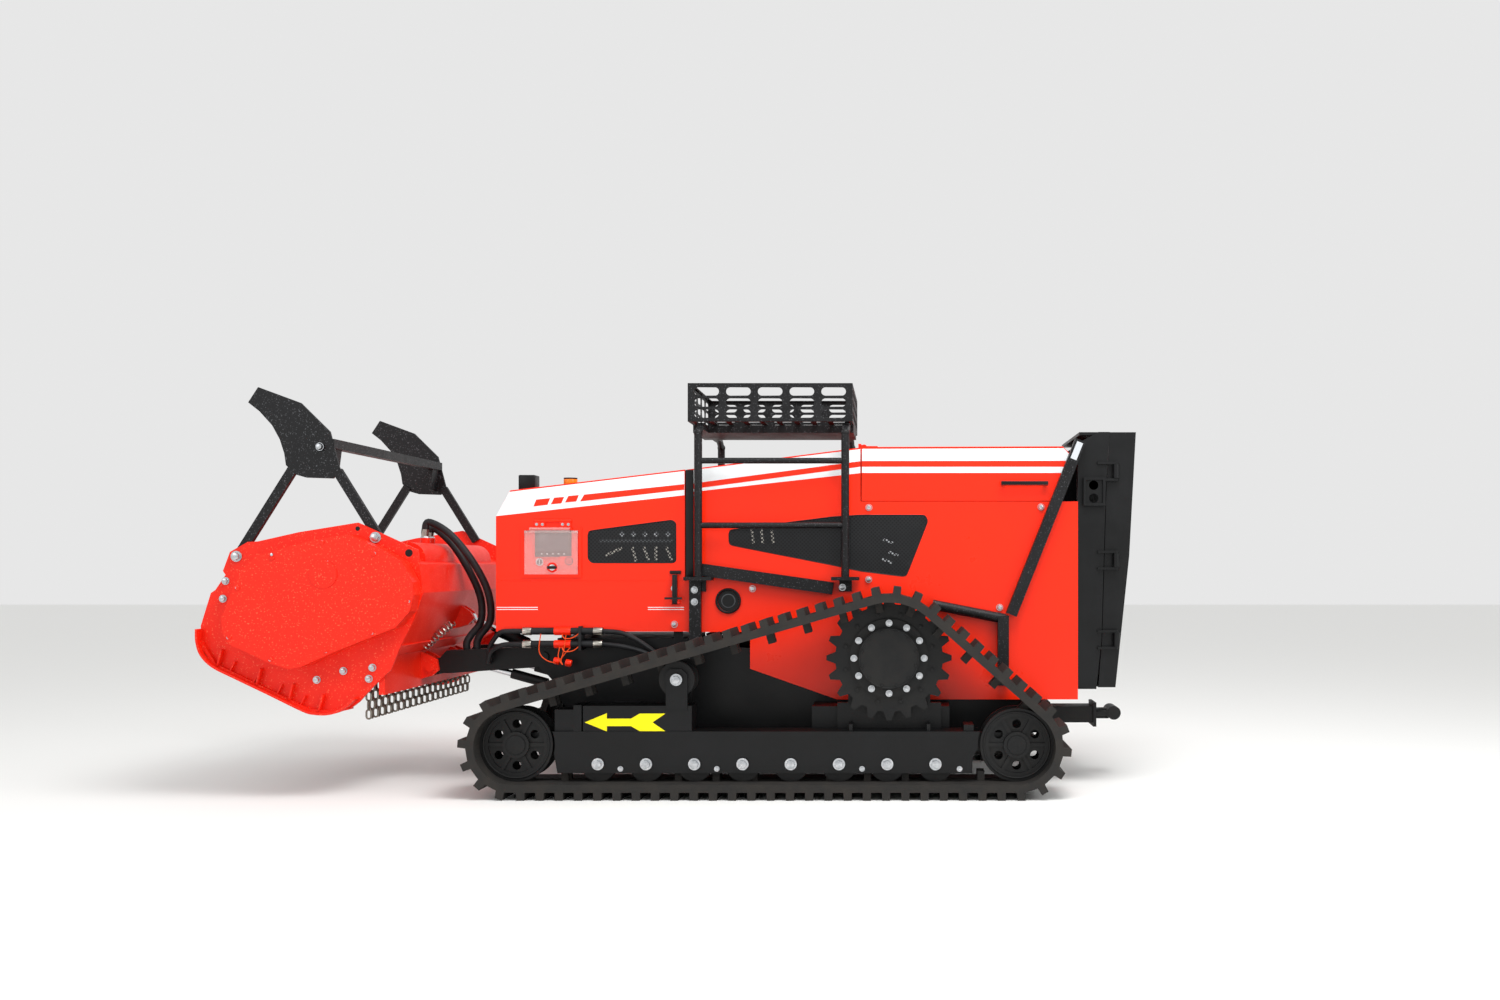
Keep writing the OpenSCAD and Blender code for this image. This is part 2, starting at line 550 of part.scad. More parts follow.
/* ---------- head ---------- */
plate_o = [[-1886, 1163], [-1931, 1161], [-2011, 1116], [-2043, 1030], [-2031, 1012], [-2077, 944], [-2097, 931], [-2143, 782], [-2140, 717], [-2070, 608], [-2011, 580], [-1648, 403], [-1564, 387], [-1470, 408], [-1429, 439], [-1363, 511], [-1285, 584], [-1250, 674], [-1186, 800], [-1141, 926], [-1154, 1034], [-1165, 1125], [-1435, 1248], [-1700, 1205]];
cover_o = [[-1847, 1099], [-1612, 1164], [-1449, 1193], [-1316, 1137], [-1205, 1072], [-1154, 981], [-1150, 924], [-1168, 850], [-1231, 779], [-1479, 681], [-1652, 604], [-1705, 595], [-1790, 621], [-1967, 704], [-1996, 750], [-2005, 817], [-1925, 1019]];
shell_o = [[-2045, 990], [-1890, 1100], [-1600, 1150], [-1435, 1150], [-1180, 1060], [-1160, 930], [-1262, 680], [-1280, 688], [-1178, 932], [-1194, 1048], [-1438, 1134], [-1598, 1134], [-1884, 1085], [-2030, 975]];
module head_housing() color(red) {
  both() slab(-head_w, -head_w + 16) difference() {
    polygon(plate_o);
    translate(rotor_c) circle(r = 40 + fit);
    translate(motor_c) circle(r = 20 + fit);
  }
  // skid shoes along the lower edge
  both() {
    strap([-2140, 717], [-2070, 608], 14, -head_w - 22, -head_w + 40);
    strap([-2070, 608], [-1648, 403], 14, -head_w - 22, -head_w + 40);
    strap([-1655, 405], [-1564, 394], 14, -head_w - 22, -head_w + 40);
    strap([-1564, 394], [-1470, 413], 14, -head_w - 22, -head_w + 40);
    for (t = [0.15, 0.4, 0.65, 0.9]) slab(-head_w - 20, -head_w + 1) translate([-2070 + 422 * t, 608 - 205 * t]) rotate(-26) square([6, 52]);
  }
  slab(-head_w + 15, head_w - 15) polygon(shell_o);
  // rear beam and pivot lugs
  slab(-head_w + 15, head_w - 15) polygon([[-1345, 470], [-1318, 470], [-1318, 640], [-1250, 690], [-1275, 702], [-1345, 655]]);
  both() for (y = [-262, -180]) slab(y - 9, y + 9) polygon([[-1330, 500], [-1330, 640], [-1290, 625], [-1240, 596], [-1232, 545], [-1262, 520]]);
  both() yc(tilt_p, 22, -285, -157);
  // tilt cylinder lugs
  for (y = [-30, 30]) slab(y - 9, y + 9) polygon([[-1245, 735], [-1160, 758], [-1130, 790], [-1150, 822], [-1205, 860]]);
  yc(tilt_b, 14, -38, 38);
  // top drum over the drive
  yc([-1290, 1085], 78, -520, 520);
  // motor body and right-hand bearing cover
  difference() { yc(motor_c, 70, -head_w + 15, -540); yc(motor_c, 20 + fit, -head_w - 5, -600); }
  difference() { yc(rotor_c, 120, head_w - 1, head_w + 100); yc(rotor_c, 40 + fit, head_w - 20, head_w + 60); }
  difference() { yc(rotor_c, 70, -head_w - 10, -head_w + 1); yc(rotor_c, 40 + fit, -head_w - 20, -head_w + 20); }
  // hose elbows
  for (y = [-190, -120]) zc(-1325, y, 24, 1150, 1190);
  zc(-1574, -640, 26, 1140, 1200);
  zc(-1574, -640, 16, 1199, 1226);
  // plate bolts
  both() for (p = [[-1619, 539], [-1499, 579], [-1368, 594], [-1384, 544]]) yc(p, 12, -head_w - 10, -head_w + 1);
  // curtain rod ends
  both() difference() { bx(-1420, -1380, -head_w + 15, -head_w + 30, 560, 610); yc([-1400, 588], 9 + fit, -head_w + 10, -head_w + 40); }
}
module belt_cover() color(red) {
  y = -head_w;
  difference() {
    slab(y - 96, y - gap) polygon(cover_o);
    slab(y - 90, y + 10) offset(delta = -10) polygon(cover_o);
  }
  // rolled edge and bolts
  yc([-1551, 1016], 62, y - 100, y - 95);
  for (p = [[-1779, 1090], [-1555, 1161], [-1934, 955], [-1973, 734], [-1786, 636], [-1538, 673], [-1322, 1108], [-1171, 895], [-1334, 754]]) yc([p[0] * 0.985 - 24, p[1] * 0.985 + 14], 9, y - 100, y - 95);
}
module head_rotor() color(black) {
  yc(rotor_c, rotor_r, -head_w + 30, head_w - 30);
  yc(rotor_c, 40, -head_w - 70, head_w + 50);
  yc(rotor_c, 105, -head_w - 70, -head_w - 20);
  n = 14;
  for (k = [0:n - 1], j = [0:1]) {
    a = k * 51.4 + j * 180;
    y = -head_w + 60 + k * (2 * head_w - 160) / (n - 1);
    translate([rotor_c[0], y, rotor_c[1]]) rotate([0, a, 0]) translate([rotor_r - 8, -20, -28]) cube([rotor_tip - rotor_r - 2, 42, 44]);
  }
}
module motor_pulley() color(steel) {
  yc(motor_c, 82, -head_w - 70, -head_w - 20);
  yc(motor_c, 20, -head_w - 21, -620);
}
module head_guard() color(black) {
  y0 = head_w - 16 - gap;
  both() {
    slab(-y0, -y0 + 14) polygon([[-1892, 1861], [-1937, 1792], [-1886, 1752], [-1829, 1689], [-1794, 1625], [-1774, 1562], [-1766, 1508], [-1720, 1465], [-1674, 1452], [-1553, 1448], [-1524, 1493], [-1568, 1660], [-1700, 1790]]);
    strap([-1737, 1493], [-1983, 1100], 42, -y0, -y0 + 24);
    strap([-1536, 1482], [-1355, 1190], 42, -y0, -y0 + 24);
    yc([-1609, 1591], 16, -y0 - 12, -y0 + 1);
  }
  bx(-1590, -1548, -y0 + 1, y0 - 1, 1585, 1627);
  both() slab(-y0 + 10, -y0 + 120) polygon([[-1585, 1470], [-1575, 1470], [-1560, 1590], [-1585, 1590]]);
}
module chain_curtain() color(steel) {
  yc([-1400, 588], 9, -head_w + 18, head_w - 18);
  bx(-1408, -1392, -720, 720, 552, 590);
  for (i = [0:35]) for (k = [0:3]) {
    y = -700 + i * 40;
    bx(-1404 - (k % 2) * 4, -1396 + (k % 2) * 4, y - 12 + (k % 2) * 4, y + 12 - (k % 2) * 4, 500 - k * 55, 500 - k * 55 + 57);
  }
}
/* ---------- hoses ---------- */
// rounded path through the points, then a ten-sided tube along it
function mixp(p, i, t) = let (n = len(p), a = p[max(i - 1, 0)], b = p[i], c = p[i + 1], d = p[min(i + 2, n - 1)])
  0.5 * (2 * b + (c - a) * t + (2 * a - 5 * b + 4 * c - d) * t * t + (3 * b - a - 3 * c + d) * t * t * t);
function smooth(p, k = 4) = [for (i = [0:len(p) - 2], j = [0:k - 1]) mixp(p, i, j / k), p[len(p) - 1]];
module hose(p, r, n = 10) {
  q = smooth(p);
  m = len(q);
  up = [0.13, 0.97, 0.21];
  pts = [for (i = [0:m - 1]) let (t = q[min(i + 1, m - 1)] - q[max(i - 1, 0)], u = t / norm(t), v = cross(u, up) / norm(cross(u, up)), w = cross(u, v), rr = r)
    each [for (k = [0:n - 1]) q[i] + rr * (cos(360 / n * k) * v + sin(360 / n * k) * w)]];
  polyhedron(points = pts, faces = concat(
    [[for (k = [0:n - 1]) k]],
    [for (i = [0:m - 2], k = [0:n - 1]) each [[i * n + k, (i + 1) * n + k, i * n + (k + 1) % n], [i * n + (k + 1) % n, (i + 1) * n + k, (i + 1) * n + (k + 1) % n]]],
    [[for (k = [n - 1:-1:0]) (m - 1) * n + k]]));
}
module hoses_head() color(rubber) {
  hose([[-1325, -190, 1190.3], [-1325, -190, 1200], [-1325, -190, 1228], [-1305, -193, 1268], [-1200, -205, 1210], [-1090, -210, 1080], [-1010, -215, 930], [-995, -218, 790], [-1045, -221, 715], [-1060, -221, 680], [-1060, -221, 658], [-1060, -221, 647]], 18);
  hose([[-1325, -120, 1190.3], [-1325, -120, 1198], [-1325, -120, 1215], [-1300, -125, 1238], [-1215, -130, 1165], [-1130, -140, 1040], [-1065, -150, 900], [-1055, -175, 780], [-1097, -200, 712], [-1112, -215, 678], [-1112, -215, 656], [-1112, -215, 645]], 18);
}
module hoses_chassis() color(rubber) {
  for (k = [0, 1]) {
    z = 741 - k * 62;
    y = -392;
    hose([[-985, -253.1, 625 - 36 * k], [-985, -262, 625 - 36 * k], [-985, -285, 625 - 36 * k], [-950, -360, 680 - 36 * k], [-900, y, z - 8], [-850, y, z], [-791, y, z]], 12);
    bar([-792, y, z], [-407, y, z], 17);
    hose([[-410, y, z], [-300, y, z - 14], [-180, y, 655 - k * 30], [-120, -375, 590 - 40 * k], [-100, -362, 556 - 40 * k], [-100, -343, 556 - 40 * k], [-100, -330.5, 556 - 40 * k]], 12);
  }
  bx(-520, -508, -415, -330.3, 650, 730);
  bx(-520, -508, -415, -371, 729, 765);
}
module tow_hitch() color(black) {
  bx(1760.3, 1975, -80, 80, 270, 350);
  bx(1975, 1990, -90, 90, 250, 370);
  difference() { bx(1989, 2060, -30, 30, 285, 335); zc(2030, 0, 16, 200, 400); }
  difference() { yc([2080, 317], 34, -75, 75); zc(0, 0, 1, 0, 1); }
  bar([1985, -60, 317], [2080, -60, 317], 14);
  bar([1985, 60, 317], [2080, 60, 317], 14);
}

/* ---------- build ---------- */
chassis_frame();
track_frame_left();
track_frame_right();
track_belt_left();
track_belt_right();
sprocket_left();
sprocket_right();
front_idler_left();
front_idler_right();
rear_idler_left();
rear_idler_right();
carrier_roller_left();
carrier_roller_right();
low(1);  // bottom_roller_left_1
low(2);  // bottom_roller_left_2
low(3);  // bottom_roller_left_3
low(4);  // bottom_roller_left_4
low(5);  // bottom_roller_left_5
low(6);  // bottom_roller_left_6
low(7);  // bottom_roller_left_7
low(8);  // bottom_roller_left_8
low_r(1);  // bottom_roller_right_1
low_r(2);  // bottom_roller_right_2
low_r(3);  // bottom_roller_right_3
low_r(4);  // bottom_roller_right_4
low_r(5);  // bottom_roller_right_5
low_r(6);  // bottom_roller_right_6
low_r(7);  // bottom_roller_right_7
low_r(8);  // bottom_roller_right_8
body_panels();
front_hood();
engine_lid();
rear_guard();
rear_door();
basket();
ladder_frame();
control_panel();
panel_flap();
flap_latch();
estop_button();
hood_latch();
beacon_camera();
engine();
radiator();
cooling_fan();
tanks();
lift_arm();
lift_barrels();
lift_rods();
tilt_barrel();
tilt_rod();
head_housing();
belt_cover();
head_rotor();
motor_pulley();
head_guard();
chain_curtain();
hoses_chassis();
hoses_head();
tow_hitch();
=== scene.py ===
import bpy, math
from mathutils import Vector, Matrix


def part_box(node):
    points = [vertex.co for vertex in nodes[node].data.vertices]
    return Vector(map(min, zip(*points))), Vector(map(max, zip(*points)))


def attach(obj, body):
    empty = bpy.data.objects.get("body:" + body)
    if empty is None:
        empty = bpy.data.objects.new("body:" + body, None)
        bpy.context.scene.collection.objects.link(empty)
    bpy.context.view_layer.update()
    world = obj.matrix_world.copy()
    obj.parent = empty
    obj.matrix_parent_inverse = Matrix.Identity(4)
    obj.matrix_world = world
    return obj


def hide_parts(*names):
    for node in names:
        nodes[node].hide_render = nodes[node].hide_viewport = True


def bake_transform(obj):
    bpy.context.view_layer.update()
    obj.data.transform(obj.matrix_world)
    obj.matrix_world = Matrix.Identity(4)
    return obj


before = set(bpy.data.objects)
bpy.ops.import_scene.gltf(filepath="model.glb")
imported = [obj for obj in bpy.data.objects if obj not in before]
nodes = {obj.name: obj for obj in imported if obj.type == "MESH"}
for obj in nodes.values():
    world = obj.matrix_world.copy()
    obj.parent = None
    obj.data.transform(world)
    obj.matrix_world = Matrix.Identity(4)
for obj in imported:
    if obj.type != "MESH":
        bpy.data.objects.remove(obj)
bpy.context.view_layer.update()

MM = 0.001


# ---------------------------------------------------------------- finishes
def paint(hex_code, alpha=1.0):
    """An sRGB hex code as a linear colour."""
    v = [int(hex_code[i:i + 2], 16) / 255 for i in (0, 2, 4)]
    return tuple(c / 12.92 if c <= 0.04045 else ((c + 0.055) / 1.055) ** 2.4 for c in v) + (alpha,)


def add(tree, kind, links=(), **settings):
    """Adds a shader node, gives it its values and feeds its inputs from other nodes' outputs."""
    n = tree.nodes.new(kind)
    for k, v in settings.items():
        if k in n.inputs:
            n.inputs[k].default_value = v
        else:
            setattr(n, k, v)
    for src, out, dst in links:
        tree.links.new(src.outputs[out], n.inputs[dst])
    return n


def ramp(tree, src, out, stops):
    """A colour ramp over another node's output, with (place, colour) stops."""
    r = add(tree, "ShaderNodeValToRGB", [(src, out, "Fac")])
    el = r.color_ramp.elements
    while len(el) < len(stops):
        el.new(0.5)
    for e, (pos, col) in zip(el, stops):
        e.position = pos
        e.color = col
    return r


def finish(name, base, dirt, rough=(0.3, 0.45), metallic=0.0, coat=0.0, grain_mm=2.0, grain=0.1,
           patch_mm=180, patch=0.35, specks=0.0, speck_col="FFFFFF"):
    """Colour that wanders between base and dirt in patches, a fine surface grain, optional bright specks."""
    m = bpy.data.materials.new(name)
    m.use_nodes = True
    t = m.node_tree
    t.nodes.clear()
    out = add(t, "ShaderNodeOutputMaterial")
    sh = add(t, "ShaderNodeBsdfPrincipled", Metallic=metallic, IOR=1.5)
    sh.inputs["Coat Weight"].default_value = coat
    sh.inputs["Coat Roughness"].default_value = 0.12
    if not metallic:
        sh.inputs["Specular IOR Level"].default_value = 0.28
    pos = add(t, "ShaderNodeTexCoord")
    place = [(pos, "Object", "Vector")]
    patches = add(t, "ShaderNodeTexNoise", place, Scale=1000 / patch_mm, Detail=6.0, Roughness=0.62)
    tone = ramp(t, patches, "Fac", [(0.5 - patch * 0.25, paint(base)), (0.5 + patch * 0.9, paint(dirt))])
    fine = add(t, "ShaderNodeTexNoise", place, Scale=1000 / grain_mm, Detail=3.0, Roughness=0.6)
    if specks:
        spots = add(t, "ShaderNodeTexNoise", place, Scale=1000 / (grain_mm * 2.2), Detail=1.0)
        mask = ramp(t, spots, "Fac", [(0.66 - specks * 0.1, (0, 0, 0, 1)), (0.70, (1, 1, 1, 1))])
        colour = add(t, "ShaderNodeMix", data_type="RGBA")
        t.links.new(mask.outputs["Color"], colour.inputs[0])
        t.links.new(tone.outputs["Color"], colour.inputs[6])
        colour.inputs[7].default_value = paint(speck_col)
        t.links.new(colour.outputs[2], sh.inputs["Base Color"])
    else:
        t.links.new(tone.outputs["Color"], sh.inputs["Base Color"])
    gloss = add(t, "ShaderNodeMapRange", [(patches, "Fac", "Value")])
    gloss.inputs["From Min"].default_value = 0.3
    gloss.inputs["From Max"].default_value = 0.7
    gloss.inputs["To Min"].default_value = rough[0]
    gloss.inputs["To Max"].default_value = rough[1]
    t.links.new(gloss.outputs["Result"], sh.inputs["Roughness"])
    bump = add(t, "ShaderNodeBump", [(fine, "Fac", "Height")], Strength=grain, Distance=0.001)
    t.links.new(bump.outputs["Normal"], sh.inputs["Normal"])
    t.links.new(sh.outputs["BSDF"], out.inputs["Surface"])
    return m


# Glossy orange-red enamel over pressed sheet: soft orange peel, slight fade
red_enamel = finish("gloss_red_enamel", "FF2A04", "F42405", (0.26, 0.36),
                    coat=0.08, grain_mm=6, grain=0.03, patch_mm=420, patch=0.5)
# Hammered red enamel on the grinding head: coarser spray texture
red_textured = finish("textured_red_enamel", "EE2308", "D91D08", (0.38, 0.52),
                      coat=0.05, grain_mm=3.5, grain=0.18, patch_mm=260, patch=0.5, specks=0.2, speck_col="F0583A")
# Cast vinyl of the bands, lines and arrow: smooth, with less gloss than the paint
white_film = finish("white_vinyl_film", "F1F3F4", "E4E7E9", (0.28, 0.36), coat=0.1, grain_mm=5, grain=0.02)
red_film = finish("red_vinyl_film", "FA2C0A", "EE2809", (0.28, 0.36), coat=0.1, grain_mm=5, grain=0.02)
yellow_film = finish("yellow_vinyl_film", "FFF10A", "F4E300", (0.35, 0.42), grain_mm=5, grain=0.02)
# Textured black powder coat: pinhead grain with a grey sparkle of dust
black_coat = finish("textured_black_powder_coat", "0D0D0F", "18181A", (0.42, 0.58),
                    grain_mm=3, grain=0.3, patch_mm=160, specks=0.25, speck_col="4A4B4E")
# Satin black powder coat on plain sheet and frames
black_sheet = finish("satin_black_powder_coat", "08090A", "111214", (0.34, 0.5),
                     grain_mm=3, grain=0.12, patch_mm=200)
# Painted castings, rougher, with brownish wear in patches
cast_black = finish("painted_cast_iron", "101112", "201F1D", (0.42, 0.6),
                    grain_mm=5, grain=0.35, patch_mm=120)
# Moulded carbon-black rubber with ground-in tan dust
track_rubber = finish("dusty_moulded_rubber", "242322", "3B3631", (0.66, 0.86),
                      grain_mm=6, grain=0.4, patch_mm=90, patch=0.6)
# Smooth rubber cover of the hoses
hose_rubber = finish("hydraulic_hose_rubber", "191A1C", "2A2B2D", (0.45, 0.6),
                     grain_mm=3, grain=0.25, patch_mm=60)
# Zinc-plated fasteners, with a spangle of about a centimetre
zinc = finish("bright_zinc_plate", "C9CCCF", "9FA3A8", (0.22, 0.4),
              metallic=1.0, grain_mm=2, grain=0.08, patch_mm=14)
# Hardened chain, weathered to a brown grey
chain_steel = finish("weathered_chain_steel", "8F8A80", "4A4640", (0.38, 0.6),
                     metallic=0.9, grain_mm=2, grain=0.25, patch_mm=22, patch=0.8)
# Hard chrome on the cylinder rods, close to a mirror
hard_chrome = finish("hard_chrome_rod", "D6D8DB", "C2C5C9", (0.08, 0.16),
                     metallic=1.0, grain_mm=1, grain=0.02)
# Nickel-plated pipes, couplers and elbows
pipe_steel = finish("nickel_plated_pipe", "B9B5AC", "8B877F", (0.25, 0.4),
                    metallic=1.0, grain_mm=2, grain=0.1, patch_mm=30)
# Bare aluminium fins of the radiator
grey_core = finish("aluminium_fin_core", "8C8F92", "6B6E71", (0.4, 0.55), metallic=0.8, grain_mm=3, grain=0.2)
# Grey enamel on the engine and the valve blocks
iron_grey = finish("grey_engine_enamel", "4C4F52", "3A3C3E", (0.4, 0.55), grain_mm=4, grain=0.25)
# Amber acrylic of the beacon and the rear lamps
amber = finish("amber_acrylic_lens", "F08A10", "E57A08", (0.12, 0.2), coat=0.4, grain_mm=8, grain=0.05)
# Moulded nylon of the stop button
button_red = finish("red_nylon_button", "D2201C", "B81A17", (0.3, 0.4), grain_mm=2, grain=0.05)
# Woven nylon lanyard
orange_cord = finish("orange_nylon_cord", "F0521C", "D94412", (0.5, 0.6), grain_mm=1.5, grain=0.4)
# Dark glass over the display and the camera
screen_glass = finish("dark_display_glass", "2B3136", "363D43", (0.1, 0.16),
                      coat=0.5, grain_mm=30, grain=0.01)
# Silver polyester labels and key caps
grey_label = finish("silver_polyester_label", "C8CCD0", "B3B8BD", (0.3, 0.4), grain_mm=4, grain=0.03)


def clear_sheet(name, tint, strength):
    """A see-through plastic with a cloudy polish; strength is how much of it shows."""
    m = bpy.data.materials.new(name)
    m.use_nodes = True
    t = m.node_tree
    sh = t.nodes["Principled BSDF"]
    pos = add(t, "ShaderNodeTexCoord")
    haze = add(t, "ShaderNodeTexNoise", [(pos, "Object", "Vector")], Scale=18.0, Detail=4.0)
    r = add(t, "ShaderNodeMapRange", [(haze, "Fac", "Value")])
    r.inputs["To Min"].default_value = 0.06
    r.inputs["To Max"].default_value = 0.2
    t.links.new(r.outputs["Result"], sh.inputs["Roughness"])
    sh.inputs["Base Color"].default_value = paint(tint)
    sh.inputs["Alpha"].default_value = strength
    sh.inputs["IOR"].default_value = 1.58
    return m


# Clear polycarbonate flap: faint milky haze from wiping
flap_sheet = clear_sheet("clear_polycarbonate", "F2DAD6", 0.2)
# Clear lens of the lower rear lamps
lamp_lens = clear_sheet("clear_lamp_lens", "E8EDF0", 0.5)


def punched(name, pitch_mm, hole):
    """Black sheet punched with staggered round holes; light passes through the holes."""
    m = finish(name, "1F2022", "161719", (0.4, 0.5), grain_mm=3, grain=0.1)
    t = m.node_tree
    sh = next(n for n in t.nodes if n.type == "BSDF_PRINCIPLED")
    pos = add(t, "ShaderNodeTexCoord")
    turn = add(t, "ShaderNodeMapping", [(pos, "Object", "Vector")])
    s = 1000 / pitch_mm
    turn.inputs["Scale"].default_value = (s, s, s)
    turn.inputs["Rotation"].default_value = (0, math.radians(45), 0)
    split = add(t, "ShaderNodeSeparateXYZ", [(turn, "Vector", "Vector")])
    parts = []
    for axis in ("X", "Z"):
        f = add(t, "ShaderNodeMath", [(split, axis, 0)], operation="FRACT")
        c = add(t, "ShaderNodeMath", [(f, 0, 0)], operation="SUBTRACT")
        c.inputs[1].default_value = 0.5
        q = add(t, "ShaderNodeMath", [(c, 0, 0), (c, 0, 1)], operation="MULTIPLY")
        parts.append(q)
    d = add(t, "ShaderNodeMath", [(parts[0], 0, 0), (parts[1], 0, 1)], operation="ADD")
    inside = add(t, "ShaderNodeMath", [(d, 0, 0)], operation="LESS_THAN")
    inside.inputs[1].default_value = hole * hole
    solid = add(t, "ShaderNodeMath", [(inside, 0, 1)], operation="SUBTRACT")
    solid.inputs[0].default_value = 1.0
    t.links.new(solid.outputs[0], sh.inputs["Alpha"])
    return m


# Holes are 6 mm on a real guard; drawn at 13 mm pitch so that they show
punched_black = punched("punched_black_sheet", 13, 0.33)


# ---------------------------------------------------------------- shapes
def fresh():
    """Back to object mode with nothing selected."""
    if bpy.context.mode != "OBJECT":
        bpy.ops.object.mode_set(mode="OBJECT")
    bpy.ops.object.select_all(action="DESELECT")


def settle(o, name, material, body, bevel_mm=0):
    """Puts the piece's place in its mesh, rounds its edges, paints it and hangs it on its body."""
    fresh()
    o.select_set(True)
    bpy.context.view_layer.objects.active = o
    o.name = name
    bpy.ops.object.transform_apply(location=True, rotation=True, scale=True)
    if bevel_mm:
        b = o.modifiers.new("edge", "BEVEL")
        b.width = bevel_mm * MM
        b.segments = 2
        b.limit_method = "ANGLE"
        b.angle_limit = math.radians(35)
        bpy.ops.object.modifier_apply(modifier=b.name)
    bpy.ops.object.shade_smooth_by_angle(angle=math.radians(32))
    o.data.materials.clear()
    o.data.materials.append(material)
    if body:
        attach(o, body)
    return o


def block(name, x, y, z, material, body, bevel_mm=2):
    """A box between its limits along X, Y and Z."""
    fresh()
    bpy.ops.mesh.primitive_cube_add(size=1, location=tuple((v[0] + v[1]) / 2 * MM for v in (x, y, z)))
    o = bpy.context.object
    o.scale = tuple((v[1] - v[0]) * MM for v in (x, y, z))
    return settle(o, name, material, body, bevel_mm)


def extrude_along_y(depth):
    """Gives the active flat outline its thickness and turns its faces outwards."""
    bpy.ops.object.mode_set(mode="EDIT")
    bpy.ops.mesh.select_all(action="SELECT")
    bpy.ops.mesh.extrude_region_move(TRANSFORM_OT_translate={"value": (0, depth * MM, 0)})
    bpy.ops.mesh.select_all(action="SELECT")
    bpy.ops.mesh.normals_make_consistent(inside=False)
    bpy.ops.object.mode_set(mode="OBJECT")


def plate(name, outline, y0, y1, material, body, bevel_mm=1.0):
    """A flat plate cut to an outline in X-Z and given its thickness along Y."""
    fresh()
    bpy.ops.mesh.primitive_circle_add(vertices=len(outline), fill_type="NGON")
    o = bpy.context.object
    for v, p in zip(o.data.vertices, outline):
        v.co = (p[0] * MM, y0 * MM, p[1] * MM)
    extrude_along_y(y1 - y0)
    return settle(o, name, material, body, bevel_mm)


def spin_rod(name, a, b, r, material, body, sides=32, bevel_mm=1.0):
    """A round bar from a to b."""
    fresh()
    a, b = Vector(a) * MM, Vector(b) * MM
    bpy.ops.mesh.primitive_cylinder_add(vertices=sides, radius=r * MM, depth=(b - a).length,
                                        location=(a + b) / 2)
    o = bpy.context.object
    o.rotation_mode = "QUATERNION"
    o.rotation_quaternion = (b - a).to_track_quat("Z", "Y")
    return settle(o, name, material, body, bevel_mm)


def tube(name, pts, r, material, body, k=8, sides=14):
    """Round tube swept along smooth points."""
    fresh()
    c = bpy.data.curves.new(name, "CURVE")
    c.dimensions = "3D"
    s = c.splines.new("NURBS")
    s.points.add(len(pts) - 1)
    for p, q in zip(s.points, pts):
        p.co = (q[0] * MM, q[1] * MM, q[2] * MM, 1)
    s.use_endpoint_u = True
    s.order_u = 4
    s.resolution_u = k
    c.bevel_depth = r * MM
    c.bevel_resolution = max(1, sides // 4 - 1)
    c.use_fill_caps = True
    o = bpy.data.objects.new(name, c)
    bpy.context.collection.objects.link(o)
    o.select_set(True)
    bpy.context.view_layer.objects.active = o
    bpy.ops.object.convert(target="MESH")
    o = bpy.context.object
    return settle(o, name, material, body)


def smooth_points(p, k=5):
    """Points of one smooth curve through p, k of them to each stretch."""
    out = []
    n = len(p)
    for i in range(n - 1):
        a, b, c, d = p[max(i - 1, 0)], p[i], p[i + 1], p[min(i + 2, n - 1)]
        for j in range(k):
            t = j / k
            out.append(tuple(
                0.5 * (2 * b[m] + (c[m] - a[m]) * t + (2 * a[m] - 5 * b[m] + 4 * c[m] - d[m]) * t * t
                       + (3 * b[m] - a[m] - 3 * c[m] + d[m]) * t ** 3)
                for m in range(3)))
    return out + [tuple(p[-1])]


def copies(name, pattern, places, material, body):
    """One piece copied to several places, each copy with its own mesh, then joined."""
    made = []
    for m in places:
        d = pattern.data.copy()
        d.transform(m)
        o = bpy.data.objects.new(name, d)
        bpy.context.collection.objects.link(o)
        made.append(o)
    fresh()
    for o in made:
        o.select_set(True)
    bpy.context.view_layer.objects.active = made[0]
    if len(made) > 1:
        bpy.ops.object.join()
    o = bpy.context.object
    o.name = name
    o.data.materials.clear()
    o.data.materials.append(material)
    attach(o, body)
    return o


def drop(*objs):
    """Removes patterns and cutters that are done with."""
    for o in objs:
        bpy.data.objects.remove(o, do_unlink=True)


def bolt_pattern(washer=13.0, across=9.5, head=8.0):
    """Hex head on a flanged washer, pointing along -Y, standing on y = 0."""
    thick = 2.4                  # of the washer; the head starts 0.2 mm inside it
    facing = (math.radians(90), 0, 0)
    fresh()
    bpy.ops.mesh.primitive_cylinder_add(vertices=28, radius=washer * MM, depth=thick * MM,
                                        location=(0, -thick / 2 * MM, 0), rotation=facing)
    w = bpy.context.object
    bpy.ops.object.transform_apply(location=True, rotation=True, scale=True)
    bpy.ops.mesh.primitive_cylinder_add(vertices=6, radius=across * MM, depth=head * MM,
                                        location=(0, -(thick - 0.2 + head / 2) * MM, 0), rotation=facing)
    h = bpy.context.object
    bpy.ops.object.transform_apply(location=True, rotation=True, scale=True)
    b = h.modifiers.new("chamfer", "BEVEL")
    b.width = 1.0 * MM
    b.segments = 2
    bpy.ops.object.modifier_apply(modifier=b.name)
    fresh()
    w.select_set(True)
    h.select_set(True)
    bpy.context.view_layer.objects.active = w
    bpy.ops.object.join()
    o = bpy.context.object
    bpy.ops.object.shade_smooth_by_angle(angle=math.radians(30))
    return o


def on_side(points, y, scale=1.0, turn=17):
    """Placings of a -Y pattern at X-Z points on a side face; y > 0 turns it to face +Y."""
    out = []
    for i, (x, z) in enumerate(points):
        m = Matrix.Translation((x * MM, y * MM, z * MM))
        if y > 0:
            m = m @ Matrix.Rotation(math.pi, 4, "Z")
        out.append(m @ Matrix.Rotation(math.radians(turn * i), 4, "Y") @ Matrix.Scale(scale, 4))
    return out


